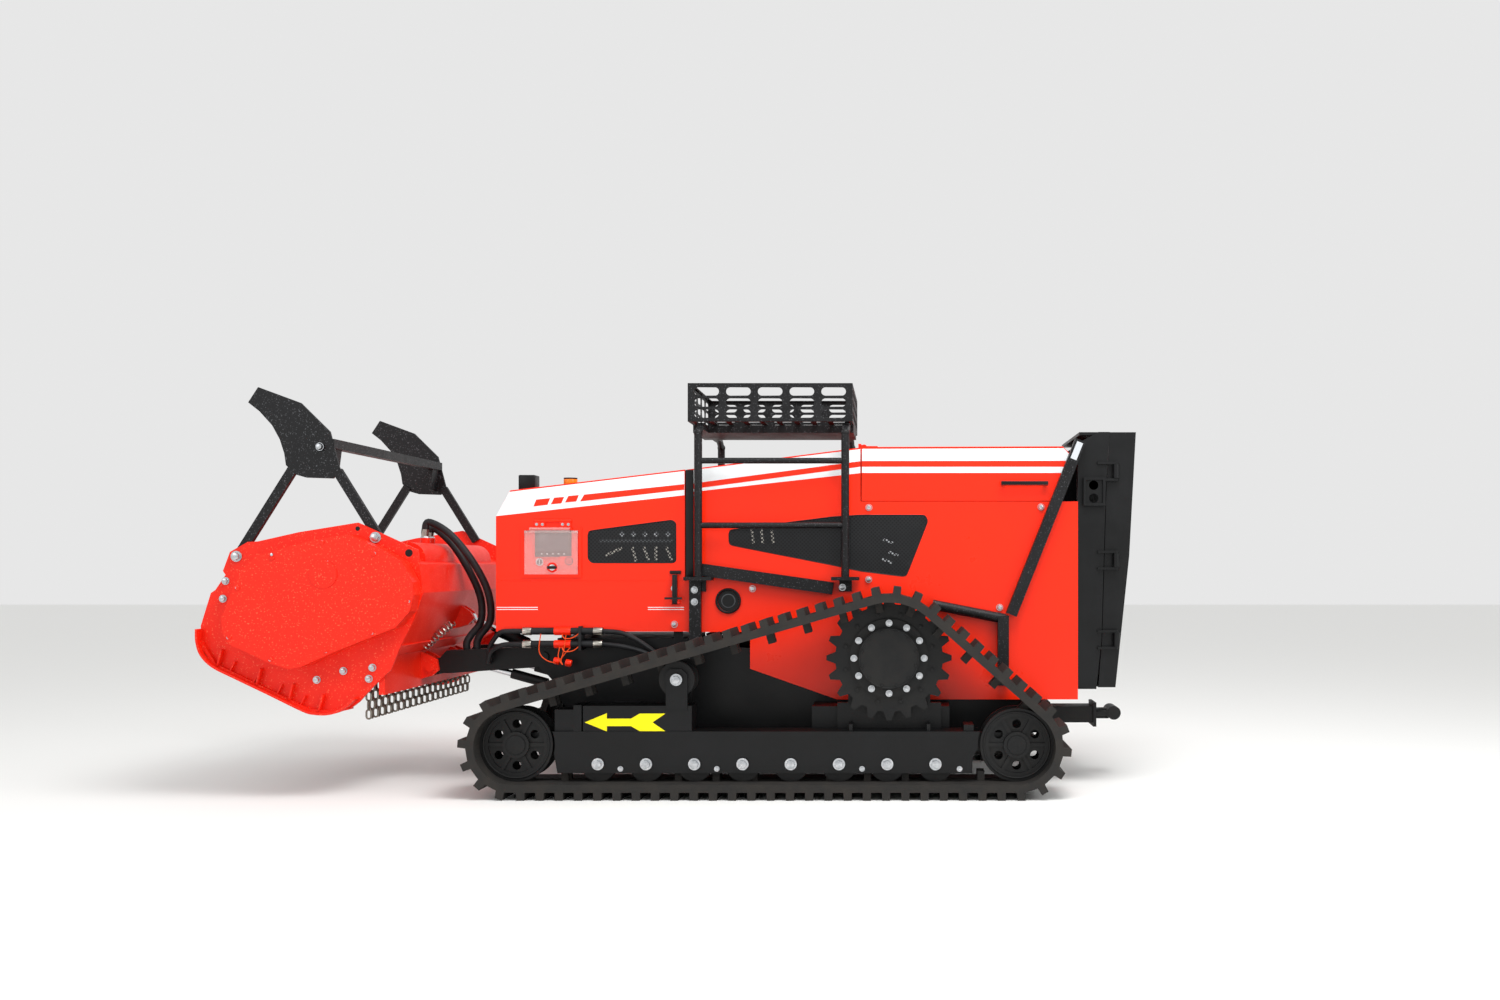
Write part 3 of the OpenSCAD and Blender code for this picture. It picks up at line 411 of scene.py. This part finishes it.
def rounded(outline, r, n=5):
    """The outline with its corners rounded to about r."""
    out = []
    k = len(outline)
    for i in range(k):
        p, a, b = Vector(outline[i]), Vector(outline[i - 1]), Vector(outline[(i + 1) % k])
        ua, ub = (a - p).normalized(), (b - p).normalized()
        cut = min(r, (a - p).length * 0.45, (b - p).length * 0.45)
        p0, p1 = p + ua * cut, p + ub * cut
        for j in range(n + 1):
            t = j / n
            out.append(tuple((1 - t) ** 2 * p0 + 2 * t * (1 - t) * p + t * t * p1))
    return out


def strip(points, half):
    """A closed outline that runs half a width to each side of an open line."""
    left, right = [], []
    for i, p in enumerate(points):
        a, b = Vector(points[max(i - 1, 0)]), Vector(points[min(i + 1, len(points) - 1)])
        t = (b - a).normalized()
        n = Vector((-t.y, t.x)) * half
        left.append(tuple(Vector(p) + n))
        right.append(tuple(Vector(p) - n))
    return left + right[::-1]


def flat_bar(name, a, b, width, y0, y1, material, body):
    """A straight flat strip from a to b in X-Z."""
    return plate(name, strip([a, b], width / 2), y0, y1, material, body, 0)


# ---------------------------------------------------------------- frame finishes
finish_of = {
    "front_hood": red_enamel, "body_panels": red_enamel, "engine_lid": red_enamel, "control_panel": red_enamel,
    "head_housing": red_textured, "belt_cover": red_textured, "head_rotor": cast_black, "motor_pulley": zinc,
    "head_guard": black_coat, "ladder_frame": black_coat, "basket": black_coat, "rear_guard": black_sheet,
    "rear_door": black_sheet, "chassis_frame": black_sheet, "lift_arm": black_sheet, "lift_barrels": black_sheet,
    "tilt_barrel": black_sheet, "lift_rods": hard_chrome, "tilt_rod": hard_chrome, "chain_curtain": chain_steel,
    "panel_flap": flap_sheet, "flap_latch": cast_black, "estop_button": button_red, "hood_latch": hose_rubber,
    "beacon_camera": black_sheet, "engine": iron_grey, "radiator": grey_core, "cooling_fan": cast_black,
    "tanks": black_sheet, "hoses_chassis": hose_rubber, "hoses_head": hose_rubber, "tow_hitch": cast_black,
}
for name, o in nodes.items():
    m = finish_of.get(name)
    if m is None:
        m = track_rubber if name.startswith("track_belt") else cast_black
    if name.startswith("track_frame"):
        m = black_sheet          # fabricated, unlike the castings round it
    o.data.materials.clear()
    o.data.materials.append(m)

# ---------------------------------------------------------------- driving places and sizes (mm)
SIDES = ((-1, "left"), (1, "right"))
body_half = 370.0                           # side skins of the body, from the middle plane
drive_c = (960, 631)                        # sprocket centre, X-Z
front_c, rear_c = (-735, 239), (1541, 239)  # idler centres, X-Z
rollers = [(-360 + 218.7 * i, 154) for i in range(8)]
top_roller = (-5, 536.25)
roller_face, frame_face = 724.2, 727        # bolt seats on the track frame, from the middle plane
disc_face, hub_face, rim_face = 680.2, 706, 660.2  # steps of the sprocket
plate_face = 760.2                          # outer faces of the head's side plates


def span(s, a, b):
    """Y limits of what lies between two distances from the middle plane, on side s."""
    return sorted((s * a, s * b))


def skin(s, a, b):
    """Y limits of a layer between two heights over the body's side skin; in its recesses they are negative."""
    return span(s, body_half + a, body_half + b)


def stud(name, s, centre, start, end, r, material, body, sides=32, bevel_mm=1.0):
    """A round boss along Y on side s, its ends given as distances from the middle plane."""
    x, z = centre
    return spin_rod(name, (x, s * start, z), (x, s * end, z), r, material, body, sides, bevel_mm)


def bead(name, centre, y, major, minor, around, across, material, body):
    """A round bead that lies in the X-Z plane."""
    fresh()
    bpy.ops.mesh.primitive_torus_add(major_radius=major * MM, minor_radius=minor * MM,
                                     major_segments=around, minor_segments=across,
                                     location=(centre[0] * MM, y * MM, centre[1] * MM),
                                     rotation=(math.radians(90), 0, 0))
    return settle(bpy.context.object, name, material, body)


def bolt_circle(centre, r, first=0, count=12):
    """X-Z points evenly round a circle, the first one at an angle in degrees."""
    turns = [math.radians(360 / count * i + first) for i in range(count)]
    return [(centre[0] + r * math.cos(a), centre[1] + r * math.sin(a)) for a in turns]


bolt = bolt_pattern()
cap_bolt = bolt_pattern(washer=10, across=7.5, head=6)

# ---------------------------------------------------------------- bodywork
# Outlines in X-Z. The bands run up with the roof line of the hood and go level on the lid.
hood_white = [(-924, 1291), (-860, 1407), (-22, 1507), (-22, 1391)]
hood_marks = [
    [(-745, 1337), (-732, 1370), (-665, 1377), (-678, 1345)],
    [(-662, 1347), (-646, 1379), (-598, 1383), (-611, 1352)],
    [(-594, 1356), (-578, 1387), (-528, 1392), (-540, 1361)],
    [(-522, 1361), (-502, 1394), (-23, 1444), (-23, 1417)],
]
mid_white = [(-9, 1404), (-9, 1508), (820, 1612), (820, 1497)]
mid_red = [(-9, 1417), (-9, 1444), (820, 1554), (820, 1527)]
lid_white = [(828, 1498), (828, 1613), (1794, 1616), (1828, 1580), (1798, 1498)]
lid_red = [(828, 1527), (828, 1555), (1819, 1556), (1808, 1527)]
window_corner = 22
hood_window = rounded([(-484, 1220), (-82, 1272), (-63, 1258), (-63, 1076), (-77, 1067), (-465, 1067),
                       (-484, 1086)], window_corner, 4)
mid_window = rounded([(191, 1225), (684, 1287), (818, 1296), (1130, 1296), (1144, 1268), (1039, 1000),
                      (818, 1028), (684, 1057), (191, 1153)], window_corner, 4)
windows = ((hood_window, "hood", "hood"), (mid_window, "body", "carrier"))
recess = -2.7     # back of the fittings in the window recesses, under the skin
valve_z = 1203
valve_x = (-322, -266, -210, -159, -101)
valve_runs = (((-322, 1139), (-402, 1101)), ((-273, 1143), (-254, 1075)), ((-219, 1146), (-193, 1078)),
              ((-159, 1146), (-159, 1078)), ((-110, 1146), (-84, 1080)))
panel_bolts = [(861, 1332), (1685, 1335), (860, 988), (1487, 854), (304, 943), (-70, 773), (-70, 945), (40, 1392)]

for s, side in SIDES:
    # vinyl bands, each line lying proud of the band under it
    plate(f"hood_white_band_{side}", hood_white, *skin(s, 0.05, 0.7), white_film, "hood", 0)
    for i, mark in enumerate(hood_marks):
        plate(f"hood_red_mark_{side}_{i}", mark, *skin(s, 0.6, 1.2), red_film, "hood", 0)
    for name, outline, low, high, film, body in (
        ("body_white_band", mid_white, 0.05, 0.25, white_film, "carrier"),
        ("body_red_line", mid_red, 0.1, 0.29, red_film, "carrier"),
        ("lid_white_band", lid_white, 0.03, 0.15, white_film, "lid"),
        ("lid_red_line", lid_red, 0.1, 0.27, red_film, "lid"),
    ):
        plate(f"{name}_{side}", outline, *skin(s, low, high), film, body, 0)
    for i, x in enumerate(((-921, -724), (-197, -24))):
        for j, z in enumerate((842, 852)):
            block(f"thin_line_{side}_{i}_{j}", x, skin(s, 0.05, 0.6), (z, z + 3.5), white_film, "carrier", 0)
    # punched guards in the window recesses, with a black sheet behind them as painted shade of the machine's inside
    for layer, low, high, material in (("mesh", -0.9, -0.5, punched_black), ("dark", -2.95, -2.7, black_sheet)):
        for outline, place, body in windows:
            plate(f"{place}_{layer}_{side}", outline, *skin(s, low, high), material, body, 0)
    # valves, pipes and clips behind the guards, in shallow relief
    for i, x in enumerate(valve_x):
        stud(f"valve_knob_{side}_{i}", s, (x, valve_z), body_half + recess, body_half - 1.2, 14,
             iron_grey, "hood", 28, 0.4)
        stud(f"valve_cap_{side}_{i}", s, (x, valve_z), body_half - 1.3, body_half - 1.0, 8, zinc, "hood", 24, 0)
    for i, (a, b) in enumerate(valve_runs):
        flat_bar(f"valve_fitting_{side}_{i}", a, b, 13, *skin(s, recess, -1.3), pipe_steel, "hood")
    flat_bar(f"valve_block_{side}", (-430, 1172), (-80, 1172), 12, *skin(s, recess, -1.6), iron_grey, "hood")
    for i, x in enumerate((300, 345, 395)):
        flat_bar(f"engine_pipe_{side}_{i}", (x, 1228), (x + 8, 1160), 12, *skin(s, recess, -1.3),
                 pipe_steel, "carrier")
    for i, (x, z) in enumerate(((930, 1180), (955, 1120), (925, 1085))):
        flat_bar(f"engine_clip_{side}_{i}", (x, z), (x + 46, z - 18), 11, *skin(s, recess, -1.3), zinc, "carrier")
    # rolled rubber edge round each window
    for outline, place, body in windows:
        ring = [(x, s * (body_half - 0.6), z) for x, z in outline]
        tube(f"{place}_window_edge_{side}", ring + ring[:1], 2.4, cast_black, body, k=3, sides=8)
    # black grip over the lid handle
    block(f"lid_grip_{side}", (1489, 1719), skin(s, 23.6, 36.6), (1436, 1458), black_sheet, "lid", 4)
    for x in (1495, 1695):
        block(f"lid_grip_foot_{side}_{x}", (x, x + 18), skin(s, 0.5, 26), (1440, 1454), black_sheet, "lid", 2)
    copies(f"panel_bolts_{side}", bolt, on_side(panel_bolts, s * (body_half + 0.5), 1.25), zinc, "carrier")

# ---------------------------------------------------------------- control box, on the left side
key_c, stop_c, catch_c = (-715, 1071), (-575, 1076), (-653, 1045)
hinge_y = -body_half - 5
block("panel_tray", (-800, -517), skin(-1, 5.2, 5.9), (1000, 1010), red_enamel, "hood", 0.3)
block("display_case", (-738, -563), skin(-1, -3, 1.5), (1096, 1226), black_sheet, "hood", 3)
block("display_glass", (-724, -577), skin(-1, 1.0, 2.6), (1124, 1214), screen_glass, "hood", 1)
key = block("display_key", (-4, 4), (-1.4, 0), (-3, 3), grey_label, None, 0.6)
copies("display_keys", key,
       [Matrix.Translation(((-706 + 27 * i) * MM, (-body_half - 1.5) * MM, 1110 * MM)) for i in range(5)],
       grey_label, "hood")
stud("key_switch_ring", -1, key_c, body_half + 6, body_half - 2, 19, zinc, "hood", 40, 2)
stud("key_switch_core", -1, key_c, body_half + 7.5, body_half + 4, 13, cast_black, "hood", 32, 1)
block("key_blade", (-718, -712), skin(-1, 5, 7.8), (1060, 1082), zinc, "hood", 1)
stud("stop_collar", -1, stop_c, body_half + 4.4, body_half + 0.5, 20, black_sheet, "hood", 40, 1)
stud("catch_ring", -1, catch_c, body_half + 13.6, body_half + 11.9, 15, zinc, "flap", 36, 0.6)
block("catch_grip", (-676, -630), skin(-1, 14.6, 22.6), (1038, 1052), cast_black, "flap_catch", 3)
for i, x in enumerate((-741, -618)):
    block(f"flap_leaf_{i}", (x, x + 54), skin(-1, 0.4, 8), (1236, 1266), red_enamel, "hood", 3)
copies("flap_leaf_screws", cap_bolt,
       on_side([(x, 1251) for x in (-728, -700, -604, -576)], -body_half - 8, 0.7), zinc, "hood")
spin_rod("flap_hinge_tube", (-741, hinge_y, 1268), (-564, hinge_y, 1268), 6.5, red_enamel, "hood", 24, 1)
block("flap_rim_top", (-786.5, -530.5), skin(-1, 7.6, 12.6), (1209, 1221.5), flap_sheet, "flap", 1)
block("latch_keeper", (-92, -38), skin(-1, 0.3, 9.5), (1014, 1030), cast_black, "hood", 3)
block("latch_strap_rib", (-71, -59), skin(-1, 33.5, 36.5), (900, 1000), cast_black, "draw_latch", 2)

# beacon and camera on the roof of the hood
fresh()
bpy.ops.mesh.primitive_uv_sphere_add(segments=40, ring_count=20, radius=34.5 * MM, location=(-0.655, 0, 1.462))
settle(bpy.context.object, "beacon_dome", amber, "hood", 0)
spin_rod("beacon_base", (-655, 0, 1444), (-655, 0, 1456), 43, black_sheet, "hood", 48, 3)
spin_rod("beacon_lens", (-655, 0, 1455), (-655, 0, 1497.4), 34.6, amber, "hood", 48, 9)
block("camera_hood", (-907, -823), (-46.5, 46.5), (1432.5, 1509.5), black_sheet, "hood", 6)
spin_rod("camera_lens", (-912, 0, 1472), (-905, 0, 1472), 20, screen_glass, "hood", 40, 2)

# round air port with a rolled lip, on the left side
port_c = (188, 885)
bead("port_lip", port_c, -body_half - 6, 56, 5.5, 64, 14, black_sheet, "carrier")
stud("port_floor", -1, port_c, body_half - 1, body_half - 4, 50.5, cast_black, "carrier", 48, 0)
stud("port_ring", -1, port_c, body_half + 1, body_half - 2, 34, iron_grey, "carrier", 40, 1)
stud("port_mouth", -1, port_c, body_half + 1.6, body_half - 2, 29, cast_black, "carrier", 40, 0)


# ---------------------------------------------------------------- roof basket
def slot_cutter(length, height, deep, axis):
    """A round-ended slot, long along X (or Y) and cut through along the other."""
    fresh()
    bpy.ops.mesh.primitive_circle_add(vertices=24, radius=height / 2 * MM, fill_type="NGON",
                                      rotation=(math.radians(90), 0, 0))
    o = bpy.context.object
    bpy.ops.object.transform_apply(location=True, rotation=True, scale=True)
    for v in o.data.vertices:
        v.co.x += (length - height) / 2 * MM * (1 if v.co.x > 1e-9 else -1)
        v.co.y = -deep / 2 * MM
    extrude_along_y(deep)
    if axis == "Y":
        o.data.transform(Matrix.Rotation(math.radians(90), 4, "Z"))
    return o


def cut_through(o, cutter, places):
    """Cuts a copy of the cutter out of a sheet at each place and breaks the sharp edges."""
    made = []
    for p in places:
        d = cutter.data.copy()
        d.transform(Matrix.Translation(tuple(c * MM for c in p)))
        c = bpy.data.objects.new("cut", d)
        bpy.context.collection.objects.link(c)
        made.append(c)
    fresh()
    for c in made:
        c.select_set(True)
    bpy.context.view_layer.objects.active = made[0]
    bpy.ops.object.join()
    tool = bpy.context.object
    fresh()
    o.select_set(True)
    bpy.context.view_layer.objects.active = o
    b = o.modifiers.new("slots", "BOOLEAN")
    b.operation = "DIFFERENCE"
    b.solver = "EXACT"
    b.object = tool
    bpy.ops.object.modifier_apply(modifier=b.name)
    drop(tool)
    e = o.modifiers.new("edge", "BEVEL")
    e.width = 0.8 * MM
    e.segments = 1
    e.limit_method = "ANGLE"
    e.angle_limit = math.radians(50)
    bpy.ops.object.modifier_apply(modifier=e.name)
    bpy.ops.object.shade_smooth_by_angle(angle=math.radians(30))


lo, hi = [Vector(v) * 1000 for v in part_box("basket")]
sheet, lip = 4, 5                # thickness of the walls and of their folded lips
slot_z = [38, 91, 144]           # slot rows over the floor
side_slots = [91 + 152 * i for i in range(5)]
end_slots = [-284 + 142 * i for i in range(5)]
long_slot = slot_cutter(118, 40, 30, "X")
end_slot = slot_cutter(112, 40, 30, "Y")
for s, side in SIDES:
    wall = block(f"basket_wall_{side}", (lo.x, hi.x), span(s, hi.y, hi.y - sheet), (lo.z, hi.z),
                 black_coat, "carrier", 0)
    cut_through(wall, long_slot, [(lo.x + x, s * (hi.y - sheet / 2), lo.z + z) for x in side_slots for z in slot_z])
    block(f"basket_lip_{side}", (lo.x, hi.x), span(s, hi.y, hi.y - 22), (hi.z - lip, hi.z), black_coat, "carrier", 1.5)
    end_x = lo.x if s < 0 else hi.x
    end = block(f"basket_end_{side}", sorted((end_x, end_x - s * sheet)), (-366, 366), (lo.z, hi.z - 1),
                black_coat, "carrier", 0)
    cut_through(end, end_slot, [(end_x - s * sheet / 2, y, lo.z + z) for y in end_slots for z in slot_z])
    block(f"basket_end_lip_{side}", sorted((end_x, end_x - s * 20)), (-368, 368), (hi.z - lip - 0.2, hi.z - 0.2),
          black_coat, "carrier", 1.5)
slat = block("basket_slat", (-13, 13), (-366, 366), (0, 5), black_coat, None, 1.2)
copies("basket_slats", slat, [Matrix.Translation(((lo.x + 26 + i * 82) * MM, 0, lo.z * MM)) for i in range(10)],
       black_coat, "carrier")
rail = block("basket_rail", (lo.x + 4, hi.x - 4), (-14, 14), (0, 4), black_coat, None, 1.2)
copies("basket_rails", rail, [Matrix.Translation((0, y * MM, (lo.z + 1) * MM)) for y in (-350, -120, 120, 350)],
       black_coat, "carrier")
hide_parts("basket")
drop(long_slot, end_slot, slat, rail, key)

# ---------------------------------------------------------------- undercarriage
arrow = [(-422, 342), (-321, 384), (-321, 359), (-212, 359), (-172, 382), (-56, 382), (-114, 342), (-56, 302),
         (-172, 302), (-212, 325), (-321, 325), (-321, 301)]
frame_screws = [(x, 133) for x in (-257, 180, 838, 1280)]
for s, side in SIDES:
    sprocket = f"sprocket_{side}"
    copies(f"roller_bolts_{side}", bolt, on_side(rollers + [top_roller], s * roller_face, 2.1, 11), zinc, "carrier")
    copies(f"frame_screws_{side}", cap_bolt, on_side(frame_screws, s * frame_face, 1.25, 23), zinc, "carrier")
    copies(f"sprocket_bolts_{side}", bolt, on_side(bolt_circle(drive_c, 160.5), s * disc_face, 1.2, 13),
           zinc, sprocket)
    copies(f"hub_screws_{side}", cap_bolt, on_side(bolt_circle(drive_c, 127, 15), s * hub_face, 0.8, 13),
           cast_black, sprocket)
    plate(f"travel_arrow_{side}", arrow, *span(s, 714.1, 714.7), yellow_film, "carrier", 0)
    copies(f"rim_screws_{side}", cap_bolt, on_side(bolt_circle(drive_c, 205, 15), s * rim_face, 1.15, 13),
           cast_black, sprocket)
    bead(f"hub_rim_{side}", drive_c, s * 705.5, 134, 4, 72, 8, cast_black, sprocket)
    # caps and rim beads of the idlers
    for centre, idler in ((front_c, "front_idler"), (rear_c, "rear_idler")):
        stud(f"{idler}_cap_{side}", s, centre, 715.5, 722, 44, cast_black, f"{idler}_{side}", 48, 4)
        bead(f"{idler}_bead_{side}", centre, s * 708.5, 150, 5, 80, 8, cast_black, f"{idler}_{side}")

# ---------------------------------------------------------------- head
cover_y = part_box("belt_cover")[0][1] * 1000
cover_seat = cover_y + 7.9       # where its screws stand, so far in that their heads don't widen the machine
cover_screws = [(-1779, 1103), (-1555, 1161), (-1934, 955), (-1973, 734), (-1786, 636), (-1538, 673),
                (-1322, 1108), (-1171, 895), (-1334, 754)]
copies("cover_screws", cap_bolt, on_side(cover_screws, cover_seat, 0.95, 31), zinc, "head")


def chain_link(name, length, width, r, material):
    """One oval link standing in the XZ plane, its long way up."""
    a, b = (length - width) / 2, (width - 2 * r) / 2
    pts = [(b * math.cos(math.radians(t)), 0, a + b * math.sin(math.radians(t))) for t in range(0, 181, 20)]
    pts += [(b * math.cos(math.radians(t)), 0, -a + b * math.sin(math.radians(t))) for t in range(180, 361, 20)]
    return tube(name, pts + pts[:1], r, material, None, k=1, sides=8)


# chains side by side on a bar, every second link turned a quarter
lo, hi = [Vector(v) * 1000 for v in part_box("chain_curtain")]
mid_x = (lo.x + hi.x) / 2
link_long, link_wide, wire_r = 50, 31, 4.4
pitch = link_long - 2 * wire_r
edge, bar_drop, chains = 22, 28, 36
rows = int((hi.z - lo.z - bar_drop) / pitch)
spots = []
for c in range(chains):
    y = lo.y + edge + c * (hi.y - lo.y - 2 * edge) / (chains - 1)
    for r in range(rows):
        z = hi.z - bar_drop - link_long / 2 - r * pitch
        quarter = Matrix.Rotation(math.radians(90 if (r + c) % 2 else 0), 4, "Z")
        spots.append(Matrix.Translation((mid_x * MM, y * MM, z * MM)) @ quarter)
link = chain_link("curtain_link", link_long, link_wide, wire_r, chain_steel)
copies("curtain_chains", link, spots, chain_steel, "curtain")
spin_rod("curtain_bar", (mid_x, lo.y + 1, hi.z - 14), (mid_x, hi.y - 1, hi.z - 14), 11.5, cast_black, "curtain", 32, 1)
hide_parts("chain_curtain")
drop(link)

# screws of the access disc, then skid shoes and the big bolts of the side plates
copies("disc_screws", cap_bolt, on_side([(-1531, 1069), (-1574, 966)], cover_seat, 0.95, 31), zinc, "head")
skid = [(-2139, 770), (-2137, 712), (-2118, 655), (-2066, 602), (-1960, 549), (-1810, 477), (-1660, 404),
        (-1610, 391), (-1560, 389), (-1510, 400), (-1470, 424), (-1430, 460)]
skid_line = [(p[0], p[2]) for p in smooth_points([(x, 0, z) for x, z in skid], 4)]
rib_feet = ((-2055, 612), (-1880, 528), (-1735, 458), (-1600, 410))
shoe_bolts = [(-1619, 539), (-1499, 579), (-1368, 594), (-1384, 544), (-2030, 985), (-2042, 905)]
for s, side in SIDES:
    plate(f"skid_shoe_{side}", strip(skid_line, 5), *span(s, 759, 812), red_textured, "head", 1.5)
    for i, (x, z) in enumerate(rib_feet):
        plate(f"skid_rib_{side}_{i}", [(x - 4, z - 6), (x + 4, z - 10), (x + 22, z + 62), (x + 14, z + 66)],
              *span(s, 759, 790), red_textured, "head", 1)
    copies(f"plate_bolts_{side}", bolt, on_side([(-1981, 1096), (-1354, 1181)], s * plate_face, 1.9, 21),
           zinc, "head")
    copies(f"shoe_bolts_{side}", bolt, on_side(shoe_bolts, s * plate_face, 1.35, 9), zinc, "head")
    for i, (x, z, r) in enumerate(((-1435, 1221, 10), (-1204, 1111, 17))):
        stud(f"lifting_hole_{side}_{i}", s, (x, z), 760, 760.8, r, cast_black, "head", 32, 0)
    copies(f"guard_bolts_{side}", bolt, on_side([(-1609, 1591)], s * 752, 1.4, 7), zinc, "head")

# return spring between the arm and the head
turns, coil_r, steps = 9, 17, 180
a, b = Vector((-1153, -300, 781)), Vector((-1295, -300, 655))
across_v = Vector((0, 1, 0))
up_v = (b - a).normalized().cross(across_v)
coil = []
for i in range(steps + 1):
    t = i / steps
    ang = 2 * math.pi * turns * t
    coil.append(tuple(a.lerp(b, t) + coil_r * (math.cos(ang) * across_v + math.sin(ang) * up_v)))
spring = tube("lift_spring", coil, 3.6, pipe_steel, None, k=1, sides=8)
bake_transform(spring)

# ---------------------------------------------------------------- hoses and couplers
# couplers of the thinner hoses, with their dust caps on cords
cord_r = 2.6
for k, z in enumerate((741, 679)):
    for x0, x1, metal in ((-790, -748, pipe_steel), (-640, -560, red_enamel), (-452, -409, pipe_steel)):
        spin_rod(f"coupler_ring_{k}_{-x0}", (x0, -392, z), (x1, -392, z), 19.5, metal, "carrier", 24, 2)
    loop = [(-700 + 90 * k, -409, z - 12), (-706 + 90 * k, -414, 640 - 24 * k), (-655 + 60 * k, -414, 596 - 14 * k),
            (-602, -412, 610), (-580 + 20 * k, -410, z - 16)]
    tube(f"cap_loop_{k}", smooth_points(loop, 6), cord_r, orange_cord, "carrier", k=1, sides=8)
    spin_rod(f"dust_cap_{k}", (-640 + 56 * k, -400, 602 - 10 * k), (-612 + 56 * k, -400, 596 - 10 * k), 17,
             red_enamel, "carrier", 28, 3)
    cord = [(-600, -408, z - 14), (-585, -414, z - 34), (-545, -413, z - 30), (-514, -410, z - 6)]
    tube(f"cap_cord_{k}", smooth_points(cord, 5), cord_r, orange_cord, "carrier", k=1, sides=8)

# the two drive hoses bend between the head and the arm
runs = (
    [(-1325, -190, 1190.3), (-1325, -190, 1200), (-1325, -190, 1228), (-1305, -193, 1268), (-1200, -205, 1210),
     (-1090, -210, 1080), (-1010, -215, 930), (-995, -218, 790), (-1045, -221, 715), (-1060, -221, 680),
     (-1060, -221, 647)],
    [(-1325, -120, 1190.3), (-1325, -120, 1198), (-1325, -120, 1215), (-1300, -125, 1238), (-1215, -130, 1165),
     (-1130, -140, 1040), (-1065, -150, 900), (-1055, -175, 780), (-1097, -200, 712), (-1112, -215, 678),
     (-1112, -215, 645)],
)
for i, run in enumerate(runs):
    hose = tube(f"drive_hose_{i}", smooth_points(run, 6), 17.9, hose_rubber, None, k=1, sides=20)
    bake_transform(hose)
    if i == 0:
        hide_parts("hoses_head")
# metal elbows where the hoses leave the drive, with their nuts
for i, y in enumerate((-190, -120)):
    elbow = [(-1325, y, 1191), (-1325, y, 1214 - 8 * i), (-1323, y, 1232 - 10 * i)]
    tube(f"hose_elbow_{i}", smooth_points(elbow, 4), 18.8, pipe_steel, "head", k=1, sides=18)
    spin_rod(f"elbow_nut_{i}", (-1325, y, 1180), (-1325, y, 1196), 23, zinc, "head", 6, 1.5)

# ---------------------------------------------------------------- ladder, hood joint and rear
# bolts of the ladder feet, the dark post at the hood joint, and the label on the rear rail
for s, side in SIDES:
    copies(f"ladder_bolts_{side}", bolt, on_side([(30, 938), (30, 881)], s * 400.2, 1.3, 5), zinc, "carrier")
    copies(f"foot_bolts_{side}", bolt, on_side([(735, 950)], s * 384.7, 1.3, 5), zinc, "carrier")
    block(f"hood_joint_post_{side}", (-15, 22), span(s, 370.3, 378), (986, 1512), black_sheet, "carrier", 2)
    flat_bar(f"rail_label_{side}", (1866, 1640), (1834, 1560), 30, *span(s, 422, 422.8), grey_label, "carrier")
# lamp boxes at the rear, amber over clear
for s, side in SIDES:
    block(f"rear_lamp_box_{side}", (1890, 1980), span(s, 371.5, 385), (1345, 1470), black_sheet, "carrier", 5)
    for i, (z, lens) in enumerate(((1376, lamp_lens), (1438, amber))):
        stud(f"rear_lamp_{side}_{i}", s, (1935, z), 384, 388, 24, lens, "carrier", 32, 1.5)

# ---------------------------------------------------------------- set, light and camera
fresh()
bpy.ops.mesh.primitive_plane_add(size=60, location=(0, 0, 0))
floor = bpy.context.object
floor.name = "studio_floor"
pale = bpy.data.materials.new("pale_floor")  # matt off-white studio floor
pale.use_nodes = True
matt = pale.node_tree.nodes["Principled BSDF"]
matt.inputs["Base Color"].default_value = paint("F0F0EE")
matt.inputs["Roughness"].default_value = 0.85
floor.data.materials.append(pale)

scene = bpy.context.scene
world = bpy.data.worlds.new("studio")
scene.world = world
world.use_nodes = True
sky = world.node_tree.nodes["Background"]
sky.inputs["Color"].default_value = paint("FFFFFF")
sky.inputs["Strength"].default_value = 0.8


def lamp(name, place, aim, size, power):
    """A rectangular softbox at a place, turned to face a point."""
    data = bpy.data.lights.new(name, "AREA")
    data.shape = "RECTANGLE"
    data.size, data.size_y = size
    data.energy = power
    o = bpy.data.objects.new(name, data)
    bpy.context.collection.objects.link(o)
    o.location = place
    o.rotation_euler = (Vector(aim) - Vector(place)).to_track_quat("-Z", "Y").to_euler()
    return o


lamp("top_softbox", (1.8, -2.6, 5.4), (-0.3, 0, 0.7), (3.2, 2.4), 250)
lamp("front_softbox", (-4.6, -5.2, 3.4), (-0.4, 0, 0.8), (3.5, 3.0), 55)
lamp("rear_softbox", (5.2, -4.6, 3.0), (0.6, 0, 0.8), (3.0, 3.0), 60)

# level camera square to the left side, the frame shifted instead of turned
cam = bpy.data.cameras.new("view")
cam.sensor_width = 36
cam.lens = 33.408
cam.shift_x = -0.10
cam.shift_y = 0.0433
cam.clip_end = 200
cam_o = bpy.data.objects.new("view", cam)
bpy.context.collection.objects.link(cam_o)
cam_o.location = (1.010, -7.036, 1.057)
cam_o.rotation_euler = (math.radians(90), 0, 0)
scene.camera = cam_o
scene.view_settings.view_transform = "Standard"

drop(bolt, cap_bolt)
